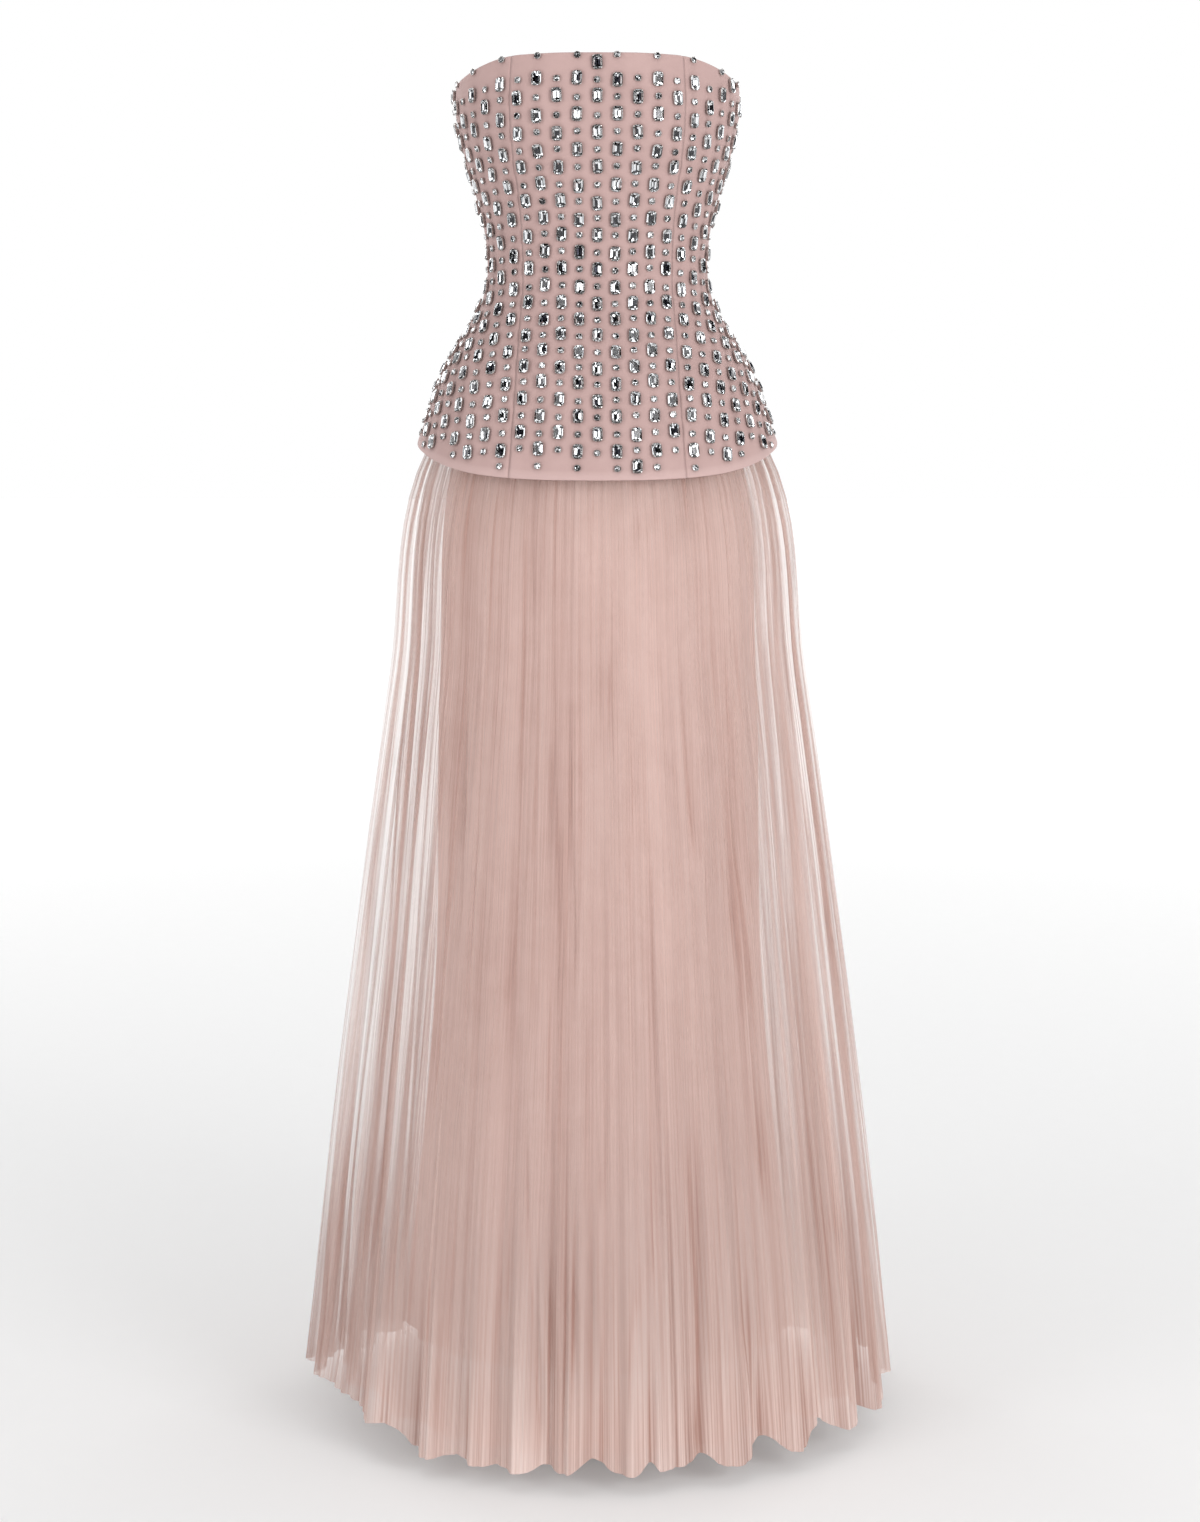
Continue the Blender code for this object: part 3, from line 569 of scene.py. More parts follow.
def bodice_relief(panel, arc, height, low, high, stones):
    """How far the outer face stands out, and the shade painted on it: seams dip, the allowances
    beside them stand up, creases are troughs with a lower ridge beside them, and crystals draw the
    cloth in, with shade painted round them and in the seam dips."""
    beside = np.minimum(arc - low, high - arc)
    relief = -SEAM_DIP * np.exp(-((beside / SEAM_DIP_WIDTH) ** 2))
    relief += ALLOWANCE_RISE / (1 + np.exp((beside - ALLOWANCE_WIDTH) / ALLOWANCE_SOFT))
    for crease in BODICE_CREASES:
        lean = math.radians(crease.lean)
        along = (arc - crease.arc) * math.cos(lean) + (height - crease.height) * math.sin(lean)
        aside = (height - crease.height) * math.cos(lean) - (arc - crease.arc) * math.sin(lean)
        reach = np.exp(-((2 * along / crease.length) ** 4))
        trough = np.exp(-((aside / crease.width) ** 2))
        above = (aside - RIDGE_ASIDE * crease.width) / crease.width
        ridge = RIDGE_SHARE * np.exp(-(above**2))
        relief += crease.depth * reach * (ridge - trough)
    arcs = np.concatenate([group.arc for group in stones])
    heights = np.concatenate([group.height for group in stones])
    sizes = np.repeat([1.0, SMALL_DIMPLE], [len(group.arc) for group in stones])
    away = (arc[..., None] - arcs) ** 2 + ((height[..., None] - heights) * DIMPLE_TALL) ** 2
    relief -= (DIMPLE_DEPTH * sizes * np.exp(-away / (DIMPLE_REACH * sizes) ** 2)).sum(axis=-1)
    # Painted shade round each crystal, a share of it for a small one, and in the seam dips.
    dark = (sizes * np.exp(-away / (SHADE_REACH * sizes) ** 2)).sum(axis=-1)
    dark += SEAM_SHADE * np.exp(-((beside / SEAM_SHADE_WIDTH) ** 2))
    return relief, np.clip(dark, 0.0, 1.0)


def grid_normals(points):
    """Unit normals of a grid: the cross product of its steps round and up."""
    normal = np.cross(np.gradient(points, axis=1), np.gradient(points, axis=0))
    return normal / np.linalg.norm(normal, axis=-1, keepdims=True)


def grid_faces(rows, columns, first=0, flip=False):
    """Quads of a grid of points, rows going up and columns going round to the left."""
    index = np.arange(rows * columns).reshape(rows, columns) + first
    faces = np.stack([index[:-1, :-1], index[:-1, 1:], index[1:, 1:], index[1:, :-1]], axis=-1)
    faces = faces.reshape(-1, 4)
    return faces[:, ::-1] if flip else faces


def closed_faces(rows, columns):
    """Quads of an outer and an inner grid, and the strip that joins their four edges."""
    index = np.arange(rows * columns).reshape(rows, columns)
    edge = np.concatenate([index[0], index[1:, -1], index[-1, -2::-1], index[-2:0:-1, 0]])
    after = np.roll(edge, -1)
    behind = rows * columns
    strip = np.stack([after, edge, edge + behind, after + behind], axis=-1)
    return np.concatenate(
        [grid_faces(rows, columns), grid_faces(rows, columns, behind, True), strip]
    )


def add_surface(name, points, faces, finishes, uv=None, masks=None, smooth=True):
    """A new object at the origin from points in millimetres and quads, with the flat place of each
    point in metres as its UV map and each named mask as a number on its points."""
    mesh = bpy.data.meshes.new(name)
    points = np.ascontiguousarray(points, dtype=float).reshape(-1, 3)
    mesh.vertices.add(len(points))
    mesh.vertices.foreach_set("co", (points * MM).ravel())
    mesh.loops.add(faces.size)
    mesh.loops.foreach_set("vertex_index", faces.ravel().astype(np.int32))
    mesh.polygons.add(len(faces))
    starts = np.arange(0, faces.size, faces.shape[1], dtype=np.int32)
    mesh.polygons.foreach_set("loop_start", starts)
    mesh.update(calc_edges=True)
    if uv is not None:
        layer = mesh.uv_layers.new(name="cloth")
        layer.data.foreach_set("uv", uv.reshape(-1, 2)[faces.ravel()].astype(np.float32).ravel())
    for mask, value in (masks or {}).items():
        layer = mesh.attributes.new(mask, "FLOAT", "POINT")
        layer.data.foreach_set("value", np.asarray(value, np.float32).ravel())
    for finish in finishes:
        mesh.materials.append(finish)
    mesh.polygons.foreach_set("use_smooth", np.full(len(faces), smooth))
    mesh.validate()
    thing = bpy.data.objects.new(name, mesh)
    scene.collection.objects.link(thing)
    return thing


def new_group(name, inputs, outputs):
    """An empty node group. Its sockets are numbers, apart from one called Vector."""
    made = bpy.data.node_groups.new(name, "ShaderNodeTree")
    for socket in inputs:
        kind = "NodeSocketVector" if socket == "Vector" else "NodeSocketFloat"
        made.interface.new_socket(socket, in_out="INPUT", socket_type=kind)
    for socket in outputs:
        made.interface.new_socket(socket, in_out="OUTPUT", socket_type="NodeSocketFloat")
    return made


def cloth_place(tree):
    """A cloth's flat places, in metres."""
    return add_node(tree, "ShaderNodeUVMap", uv_map="cloth").outputs["UV"]


def mask(tree, name):
    """One of a cloth's masks."""
    return add_node(tree, "ShaderNodeAttribute", attribute_name=name).outputs["Fac"]


def bumped(tree, height, strength, distance):
    """Output of a Bump node."""
    inputs = {"Strength": strength, "Distance": distance, "Height": height}
    return add_node(tree, "ShaderNodeBump", inputs).outputs["Normal"]


# Woven ground: two sets of threads crossing, with the pebbles that crepe's twisted yarns make.
weave = new_group("woven_ground", ("Vector", "Threads", "Pebble"), ("Height", "Mottle"))
given = add_node(weave, "NodeGroupInput").outputs
uv_parts = add_node(weave, "ShaderNodeSeparateXYZ", {0: given["Vector"]}).outputs
thread = maths(weave, "MULTIPLY", given["Threads"], 2 * math.pi)
warp, weft = (
    maths(weave, "SINE", maths(weave, "MULTIPLY", uv_parts[side], thread)) for side in (0, 1)
)
crossing = maths(weave, "MULTIPLY_ADD", maths(weave, "MULTIPLY", warp, weft), 0.5, 0.5)
pebbles = noise(weave, given["Vector"], 900.0, Detail=3.0, Roughness=0.6)
mottle = noise(weave, given["Vector"], 34.0, Detail=4.0, Roughness=0.55)
proud = maths(weave, "SUBTRACT", pebbles, crossing)
cloth_height = maths(weave, "MULTIPLY_ADD", proud, given["Pebble"], crossing)
add_node(weave, "NodeGroupOutput", {"Height": cloth_height, "Mottle": mottle})


def woven(tree, threads, pebble):
    """Outputs of the woven ground with so many threads a metre, on a cloth's flat places."""
    inputs = {"Vector": cloth_place(tree), "Threads": threads, "Pebble": pebble}
    return add_node(tree, "ShaderNodeGroup", inputs, node_tree=weave).outputs


crepe, tree, shader = new_material("crepe")
ground = woven(tree, CREPE_THREADS, CREPE_PEBBLE)
uneven = remapped(tree, ground["Mottle"], 0.3, 0.7, 0.0, PATCH_SHADE)
# Painted shade round the crystals and in the seams, or the random patches, whichever is darker.
stone_shade = maths(tree, "MULTIPLY", mask(tree, "shade"), STONE_SHADE)
colour = mixed(tree, maths(tree, "MAXIMUM", stone_shade, uneven), BODICE_COLOUR, BODICE_SHADE)
# Painted light along the turned hem: a paler band.
band = maths(tree, "MULTIPLY", mask(tree, "band"), BAND_SHARE)
colour = mixed(tree, band, colour, BAND_PAINTED_LIGHT)
# Painted shade in the weave: darker in the hollows between the threads, a little lighter on their
# tops.
dark = remapped(tree, ground["Height"], 0.0, 1.0, *THREAD_SHADE)
grey = add_node(tree, "ShaderNodeCombineColor", {0: dark, 1: dark, 2: dark}).outputs[0]
fill(tree, shader, {
    "Base Color": mixed(tree, 1.0, colour, grey, "MULTIPLY"),
    "Roughness": remapped(tree, ground["Height"], 0.0, 1.0, 0.82, 0.66),
    "Normal": bumped(tree, ground["Height"], 0.35, 0.00025),
    "Sheen Weight": 0.18,
    "Sheen Roughness": 0.45,
})

large_stones, small_stones = [], []
fold = SHELL_WALL / 2
turn = np.linspace(math.pi / 2, 0.0, FOLD_STEPS + 1)[:-1]
for panel in PANELS:
    stones = panel_stones(panel)
    large_stones.append(stones[0])
    small_stones.append(stones[1])
    columns = max(12, round(panel.cut[0] * 1000 / CLOTH_STEP))
    middle = np.linspace(0.0, 1.0, round(panel.cut[1] * 1000 / CLOTH_STEP))
    share = np.concatenate([np.zeros(FOLD_STEPS), middle, np.ones(FOLD_STEPS)])
    low_fold, high_fold = fold * (1 - np.sin(turn)), fold * (np.sin(turn[::-1]) - 1)
    raised = np.concatenate([low_fold, fold * (1 - 2 * middle), high_fold])
    round_fold = fold * (1 - np.cos(turn))
    inward = np.concatenate([round_fold, 0 * middle, round_fold[::-1]])
    across = np.linspace(0.0, 1.0, columns + 1)
    hem, top = edge_line(panel, "hem", across), edge_line(panel, "top", across)
    height = hem + share[:, None] * (top - hem) + raised[:, None]
    low, high = panel_limits(panel, height)
    arc = low + across * (high - low)
    relief, painted_shade_mask = bodice_relief(panel, arc, height, low, high, stones)
    from_hem = height - edge_height("hem", arc, height)
    band = 1 / (1 + np.exp((from_hem - HEM_BAND) / HEM_BAND_SOFT))
    relief = relief + HEM_BAND_RISE * band * (from_hem > HEM_BAND_START)
    outer = cloth_point(arc, height, inward[:, None])
    outer = outer + grid_normals(outer) * relief[..., None]
    inner = cloth_point(arc, height, SHELL_WALL - inward[:, None])
    uv = np.stack([arc, height], axis=-1) * MM
    piece = add_surface(
        panel.name + "_cloth",
        np.concatenate([outer.reshape(-1, 3), inner.reshape(-1, 3)]),
        closed_faces(len(share), columns + 1),
        [crepe],
        uv=np.concatenate([uv.reshape(-1, 2)] * 2),
        masks={
            "shade": np.concatenate([painted_shade_mask.ravel(), np.zeros(painted_shade_mask.size)]),
            "band": np.concatenate([band.ravel(), np.zeros(band.size)]),
        },
    )
    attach(piece, "gown")
    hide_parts(panel.name)

# Large crystals
# Clear cushion-octagon crystals, about 10 by 14 mm, with a silvered back. Each sits in a dark
# silver cup with a claw at each cut corner, and is sewn through the cup onto the crepe.
CRYSTAL_TINT = (0.97, 0.975, 0.98, 1.0)
CRYSTAL_INDEX = 1.58
# Foil and setting: two colours and the scale of the noise between them. A span is a low and a
# high value of the noise, and the share of the second colour or the roughness at each.
FOIL_COLOUR = (0.93, 0.94, 0.95, 1.0)
FOIL_CLOUDED = (0.80, 0.82, 0.86, 1.0)
FOIL_SCALE = 160.0
FOIL_SPAN = (0.35, 0.65, 0.0, 0.3)
FOIL_ROUGHNESS = (0.3, 0.7, 0.02, 0.06)
SETTING_COLOUR = (0.46, 0.44, 0.43, 1.0)
SETTING_WORN = (0.70, 0.68, 0.66, 1.0)
SETTING_SCALE = 420.0
SETTING_SPAN = (0.42, 0.62, 0.0, 1.0)
SETTING_ROUGHNESS = (0.35, 0.65, 0.24, 0.40)
# The keel and a random share of the facets beside it have a near-black foil, so that a stone has
# a dark middle from any side: a painted dark reflection of the room's dark front.
SHADE_COLOUR = (0.020, 0.020, 0.026, 1.0)
SHADE_ROUGHNESS = 0.15
LARGE_SHADED = 0.46
SHADE_SEED = 19
TILT = math.radians(5.0)
TILT_SEED = 7
# Rings of the cut stone from its keel up to its table, and of the cup from the cloth up.
FACETS = 8
Ring = namedtuple("Ring", "height half_width half_length cut")
LARGE_CUT = (
    Ring(0.50, 0.60, 2.60, 0.35),
    Ring(0.90, 2.35, 4.35, 1.25),
    Ring(2.35, 4.66, 6.72, 2.30),
    Ring(2.60, 4.68, 6.74, 2.31),
    Ring(3.40, 3.90, 5.95, 1.90),
    Ring(4.00, 2.85, 4.75, 1.40),
)
LARGE_CUP = (
    Ring(-0.50, 3.70, 5.70, 1.60),
    Ring(1.00, 4.60, 6.70, 2.20),
    Ring(2.50, 4.98, 7.05, 2.40),
    Ring(2.75, 4.84, 6.90, 2.36),
    Ring(2.30, 4.62, 6.66, 2.28),
)
LARGE_FOIL_RINGS = 2
LARGE_RIM = 2
CLAW_WIDTH = 1.0
CLAW_WALL = 0.35
CLAW_INSET = 0.1
CLAW_SPINE = ((1.2, 0.05), (2.7, 0.30), (3.35, -0.25), (3.50, -0.85))


def octagon_rings(rings):
    """Points of octagons, one ring for each row: a rectangle with its corners cut off."""
    points = []
    for ring in rings:
        w, l = ring.half_width, ring.half_length
        v, m = w - ring.cut, l - ring.cut
        corners = ((w, m), (v, l), (-v, l), (-w, m), (-w, -m), (-v, -l), (v, -l), (w, -m))
        points += [(x, y, ring.height) for x, y in corners]
    return np.array(points)


def ring_faces(rings, sides=FACETS, first=0):
    """Quads between rings one above the other, facing out."""
    quads = []
    for low in range(first, first + (rings - 1) * sides, sides):
        for i in range(sides):
            after = (i + 1) % sides
            quads.append((low + i, low + after, low + sides + after, low + sides + i))
    return quads


def claw(corner, outward, spine, width, first):
    """Points and quads of one claw: a flat bar swept along a spine of heights and steps out."""
    side = np.array([-outward[1], outward[0], 0.0])
    out = np.array([outward[0], outward[1], 0.0])
    points = []
    for height, step in spine:
        base = np.array([corner[0], corner[1], height]) + out * step
        for a, b in ((-1, 0), (1, 0), (1, 1), (-1, 1)):
            points.append(base + side * a * width / 2 + out * b * CLAW_WALL)
    last = first + 4 * (len(spine) - 1)
    ends = [(first + 3, first + 2, first + 1, first), (last, last + 1, last + 2, last + 3)]
    return points, ring_faces(len(spine), 4, first) + ends


def shaded(slots, count, share):
    """Material slots of every stone: those of one stone, with a random share of its first facets
    and its keel turned to the shaded foil, whose near-black is a painted dark reflection."""
    made = np.tile(slots, (count, 1))
    made[:, :FACETS][shade_random.random((count, FACETS)) < share] = 2
    made[:, -2] = 2
    return made


def copies(name, template, faces, slots, stones, tilts, finishes):
    """One joined mesh of a small shape set at every crystal's place along its own directions,
    each leaning by two small tilts."""
    across = stones.across + stones.outward * tilts[:, :1]
    along = stones.along + stones.outward * tilts[:, 1:]
    across /= np.linalg.norm(across, axis=1, keepdims=True)
    outward = np.cross(across, along)
    outward /= np.linalg.norm(outward, axis=1, keepdims=True)
    along = np.cross(outward, across)
    axes = np.stack([across, along, outward], axis=1)
    points = stones.place[:, None, :] + np.einsum("tk,nkc->ntc", template, axes)
    starts = range(0, len(template) * len(stones.arc), len(template))
    all_faces = [tuple(i + start for i in face) for start in starts for face in faces]
    mesh = bpy.data.meshes.new(name)
    mesh.from_pydata((points.reshape(-1, 3) * MM).tolist(), [], all_faces)
    for finish in finishes:
        mesh.materials.append(finish)
    slots = np.broadcast_to(slots, (len(stones.arc), len(faces)))
    mesh.polygons.foreach_set("material_index", slots.ravel().astype(np.int32))
    mesh.update()
    thing = bpy.data.objects.new(name, mesh)
    scene.collection.objects.link(thing)
    return thing


def sewn_on(size, stones, tilts, gem, foil_rings, share, cup, claws, spine, width):
    """The crystals of one size and their cups, as two joined meshes: stones with a silvered back
    of so many rings, and cups with a claw at each corner and direction given."""
    rings, last = len(gem) // FACETS, len(gem) - FACETS
    base = [tuple(range(FACETS - 1, -1, -1))]
    faces = ring_faces(rings) + base + [tuple(range(last, last + FACETS))]
    slots = [1] * FACETS * foil_rings + [0] * FACETS * (rings - 1 - foil_rings) + [1, 0]
    slots = shaded(slots, len(stones.arc), share)
    finishes = [crystal, foil, shaded_foil]
    crystals = copies(f"crystals_{size}", gem, faces, slots, stones, tilts, finishes)
    points, faces = list(cup), ring_faces(len(cup) // FACETS) + base
    for corner, outward in claws:
        bar, quads = claw(corner, outward, spine, width, len(points))
        points += bar
        faces += quads
    slots = [0] * len(faces)
    points = np.array(points)
    cups = copies(f"crystal_cups_{size}", points, faces, slots, stones, tilts, [setting])
    for made, slot in ((crystals, "crystal"), (cups, "crystal_setting")):
        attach(made, "gown")


def worn_metal(name, metallic, scale, detail, colours, colour_span, roughness_span):
    """A metal whose colour and roughness change together with one noise."""
    made, tree, shader = new_material(name)
    worn = noise(tree, own_place(tree), scale, Detail=detail)
    base = mixed(tree, remapped(tree, worn, *colour_span), *colours)
    rough = remapped(tree, worn, *roughness_span)
    fill(tree, shader, {"Base Color": base, "Metallic": metallic, "Roughness": rough})
    return made


crystal, tree, shader = new_material("crystal")
fill(tree, shader, {"Base Color": CRYSTAL_TINT, "Roughness": 0.0, "IOR": CRYSTAL_INDEX})
fill(tree, shader, {"Transmission Weight": 1.0})
foil = worn_metal(
    "crystal_foil", 1.0, FOIL_SCALE, 2.0, (FOIL_COLOUR, FOIL_CLOUDED), FOIL_SPAN, FOIL_ROUGHNESS
)
# The near-black foil: a painted dark reflection.
shaded_foil, tree, shader = new_material("crystal_foil_in_shade")
fill(tree, shader, {"Base Color": SHADE_COLOUR, "Metallic": 1.0, "Roughness": SHADE_ROUGHNESS})
setting = worn_metal(
    "crystal_setting",
    1.0,
    SETTING_SCALE,
    3.0,
    (SETTING_COLOUR, SETTING_WORN),
    SETTING_SPAN,
    SETTING_ROUGHNESS,
)

tilt_random = np.random.default_rng(TILT_SEED)
shade_random = np.random.default_rng(SHADE_SEED)
large = Stones(*(np.concatenate(column) for column in zip(*large_stones)))
tilts = tilt_random.uniform(-TILT, TILT, (len(large.arc), 2))
rim = LARGE_CUP[LARGE_RIM]
claws = []
for x, y in ((1, 1), (-1, 1), (-1, -1), (1, -1)):
    half_width = rim.half_width - rim.cut / 2 - CLAW_INSET
    half_length = rim.half_length - rim.cut / 2 - CLAW_INSET
    claws.append(((x * half_width, y * half_length), np.array([x, y]) / math.sqrt(2)))
gem, cup = octagon_rings(LARGE_CUT), octagon_rings(LARGE_CUP)
sewn_on(
    "large", large, tilts, gem, LARGE_FOIL_RINGS, LARGE_SHADED, cup, claws, CLAW_SPINE, CLAW_WIDTH
)

# Small crystals
# Round crystals about 6 mm across in claw cups like the large ones', sewn on halfway between them.
# Their rings are heights and radii.
SMALL_CUT = ((0.35, 0.25), (1.95, 2.90), (2.15, 2.92), (2.95, 1.85))
SMALL_CUP = ((-0.40, 2.40), (0.80, 3.00), (2.05, 3.42), (2.30, 3.22), (1.95, 2.92))
SMALL_FOIL_RINGS = 1
SMALL_SHADED = 0.25
SMALL_TILT = 1.6 * TILT
SMALL_CLAW_SPINE = ((1.0, 0.02), (2.2, 0.15), (2.6, -0.45))
SMALL_CLAW_WIDTH = 0.7
SMALL_CLAW_RADIUS = 3.05


def round_rings(rings):
    """Points of regular polygons, one ring for each height and radius."""
    angle = (np.arange(FACETS) + 0.5) * 2 * math.pi / FACETS
    return np.array(
        [(r * math.cos(a), r * math.sin(a), height) for height, r in rings for a in angle]
    )


small = Stones(*(np.concatenate(column) for column in zip(*small_stones)))
tilts = tilt_random.uniform(-SMALL_TILT, SMALL_TILT, (len(small.arc), 2))
claws = []
for half_turns in (0.25, 0.75, 1.25, 1.75):
    outward = np.array([math.cos(half_turns * math.pi), math.sin(half_turns * math.pi)])
    claws.append((outward * SMALL_CLAW_RADIUS, outward))
sewn_on(
    "small",
    small,
    tilts,
    round_rings(SMALL_CUT),
    SMALL_FOIL_RINGS,
    SMALL_SHADED,
    round_rings(SMALL_CUP),
    claws,
    SMALL_CLAW_SPINE,
    SMALL_CLAW_WIDTH,
)

# Skirt lining
# A plain flared lining, front and back, seamed at the sides and sewn in with the tulle at the
# waist. It ends above the tulle's hem and gives the skirt the denser pink of its middle.
LINING_COLOUR = (0.680, 0.475, 0.430, 1.0)
LINING_SHADE = (0.600, 0.400, 0.355, 1.0)
LINING_THREADS = 2600.0
LINING_PEBBLE = 0.2
LINING_WALL = 1.0
Hoop = namedtuple(
    "Hoop", "height half_width front_depth back_depth roundness middle lobe gather setback"
)
LINING = (
    Hoop(-1064, 198.0, 196.0, 196.0, 2.0, 2.0, 7.0, 0.0, 0.0),
    Hoop(-700, 164.0, 158.0, 158.0, 2.0, 1.2, 4.0, 0.0, 0.0),
    Hoop(-400, 157.0, 140.0, 140.0, 2.0, 0.5, 2.0, 0.0, 0.0),
    Hoop(-186, 141.0, 113.0, 115.0, 2.05, 0.0, 0.5, 0.0, 0.0),
    Hoop(-110, 116.0, 88.0, 89.0, 2.1, 0.0, 0.0, 0.0, 0.0),
    Hoop(-27, 103.2, 80.9, 80.0, 2.15, 0.0, 0.0, 0.0, 1.2),
)
LINING_ROWS = 60
LINING_COLUMNS = 150
LINING_LOBES = 17
# Half the gap at a side seam (radians), and the radius by which an angle becomes a flat width
# (metres).
LINING_SEAM = 0.0012
LINING_RADIUS = 0.2
SETBACK_REACH = 17.0


def hung_point(tables, angle, height, cut):
    """Points of a hung cloth: the oval of its hoops at each height, cut in by its folds and set
    back beside the zip. The hoops are a sum of tables, each with its share."""
    half_width, front, back, roundness, middle, setback = (
        sum(read(table, name, height) * share for table, share in tables)
        for name in ("half_width", "front_depth", "back_depth", "roundness", "middle", "setback")
    )
    from_back = (math.pi - np.abs(angle)) * back
    cut = cut + setback * np.exp(-((from_back / SETBACK_REACH) ** 4))
    x, y = oval(angle, half_width - cut, front - cut, back - cut, roundness)
    return np.stack([x + middle, y, np.broadcast_to(height, x.shape)], axis=-1)


lining_cloth, tree, shader = new_material("lining_weave")
ground = woven(tree, LINING_THREADS, LINING_PEBBLE)
patchy = remapped(tree, ground["Mottle"], 0.3, 0.7, 0.0, 0.8)
fill(tree, shader, {
    "Base Color": mixed(tree, patchy, LINING_COLOUR, LINING_SHADE),
    "Roughness": remapped(tree, ground["Height"], 0.0, 1.0, 0.62, 0.5),
    "Normal": bumped(tree, ground["Height"], 0.2, 0.0001),
})

for name, start, end in (("lining_front", -0.5, 0.5), ("lining_back", 0.5, 1.5)):
    ends = start * math.pi + LINING_SEAM, end * math.pi - LINING_SEAM
    angle = np.linspace(*ends, LINING_COLUMNS + 1)[None, :]
    angle_round = np.where(angle > math.pi, angle - 2 * math.pi, angle)
    height = np.linspace(LINING[0].height, LINING[-1].height, LINING_ROWS)[:, None]
    phase = LINING_LOBES * angle_round + 0.6 * np.sin(3 * angle_round + height * 0.002)
    cut = read(LINING, "lobe", height) * (1 - np.cos(phase)) / 2
    outer = hung_point([(LINING, 1.0)], angle_round, height, cut)
    inner = hung_point([(LINING, 1.0)], angle_round, height, cut + LINING_WALL)
    flat = np.broadcast_arrays(angle * LINING_RADIUS, height * MM)
    uv = np.stack(flat, axis=-1).reshape(-1, 2)
    piece = add_surface(
        name + "_cloth",
        np.concatenate([outer.reshape(-1, 3), inner.reshape(-1, 3)]),
        closed_faces(LINING_ROWS, LINING_COLUMNS + 1),
        [lining_cloth],
        uv=np.concatenate([uv, uv]),
    )
    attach(piece, "gown")
    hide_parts(name)

# Tulle skirt
# Three flared widths of fine soft tulle in two layers, gathered into the waist seam under the
# peplum, seamed at the sides and the centre back, with a raw cut hem that hangs in uneven lobes.
# The net's lighter colour, and the darker one that its lines and its painted shade go towards.
TULLE_LIGHT = (0.915, 0.715, 0.655, 1.0)
TULLE_DARK = (0.430, 0.245, 0.200, 1.0)
# How much the net covers: everywhere, and more along lines darker than the middle one, towards
# the hem, towards the wearer's left, and at the upper sides. Then its least and its most.
TULLE_VEIL = 0.185
LINE_VEIL = 0.36
LINE_MIDDLE = 0.42
TULLE_THICKER = 0.85
TULLE_ASIDE = 0.035
TULLE_SIDES = 0.09
TULLE_COVER = (0.14, 0.95)
# How dark the lines look, which in the valleys is painted shade: their contrast at the waist and
# its loss at the hem, and the darkening that is added everywhere, as painted shade downwards, near
# the hem alone and as painted shade at the upper sides.
LINE_CONTRAST = 1.8
CONTRAST_LOSS = 1.1
SHADE_ALL = 0.10
SHADE_DOWN = 0.15
SHADE_HEM = 0.22
SHADE_SIDES = 0.16
LINE_DARKEST = 1.6
SKIRT = (
    Hoop(-1124, 298.5, 298.0, 298.0, 2.0, 2.0, 15.0, 6.4, 0.0),
    Hoop(-960, 281.5, 278.0, 278.0, 2.0, 1.8, 13.0, 5.5, 0.0),
    Hoop(-700, 249.0, 238.5, 238.5, 2.0, 1.2, 10.0, 4.5, 0.0),
    Hoop(-400, 207.0, 184.5, 184.5, 2.0, 0.5, 7.0, 3.6, 0.0),
    Hoop(-186, 171.5, 138.5, 141.0, 2.05, 0.0, 5.0, 3.0, 0.0),
    Hoop(-110, 128.0, 98.0, 99.0, 2.1, 0.0, 2.5, 2.3, 0.0),
    Hoop(-25, 106.1, 83.8, 82.9, 2.15, 0.0, 0.0, 1.3, 1.2),
)
GATHERS = 132
LOBES = 26
Bend = namedtuple("Bend", "turns amount phase")
LOBE_BENDS = (Bend(3, 0.10, 0.7), Bend(5, 0.05, 2.1))
# How far gathers wander sideways (radians), coarsely and finely, how unevenly deep they are, and
# how deep the finest ones are.
WANDER_COARSE = 0.014
WANDER_FINE = 0.005
GATHER_UNEVEN = 0.55
GATHER_FINE = 0.30
# How far the gathered cloth as a whole lies in from its form, in millimetres.
FOLD_CLEAR = 0.35
# The cut hem's lift, by the angle from the centre front towards the wearer's left.
Lift = namedtuple("Lift", "angle lift")
HEM_LIFTS = [Lift(*row) for row in (
    (-180, 2), (-165, -5), (-150, 3), (-135, -4), (-120, 4), (-105, -2), (-90, 14), (-78, 23),
    (-64, 25), (-57, 17), (-51, 10), (-44, 12), (-40, -6), (-36, -9), (-31, -2), (-25, -3),
    (-20, -11), (-14, -9), (-11, -1), (-6, -7), (-1, 6), (2, -4), (7, -7), (9, 4), (12, -8),
    (17, -7), (20, 6), (23, -4), (29, -7), (34, 12), (39, -5), (43, -8), (46, 11), (53, 1),
    (57, -3), (60, 10), (70, -6), (77, 8), (85, 6), (95, -3), (107, 4), (122, -5), (138, 3),
    (152, -4), (166, 3), (180, 2),
)]
HEM_LIFT_TOP = -1040.0
INNER_LIFT = 0.4
# The hem's lowest point below its even line, how sharply it gets there, its small unevenness,
# and how much calmer the folds are at the hem.
HEM_LOW = 8.0
HEM_LOW_SHARP = 1.4
HEM_UNEVEN = 1.5
HEM_CALM = 0.45
# Each fold laps over its left side, which is that much steeper, and fades below its lower end.
# It has a lower ridge on both sides.
FOLD_STEEP = 2.4
FOLD_FADE = 70.0
FOLD_RIDGE = 0.4
FOLD_RIDGE_ASIDE = 1.8
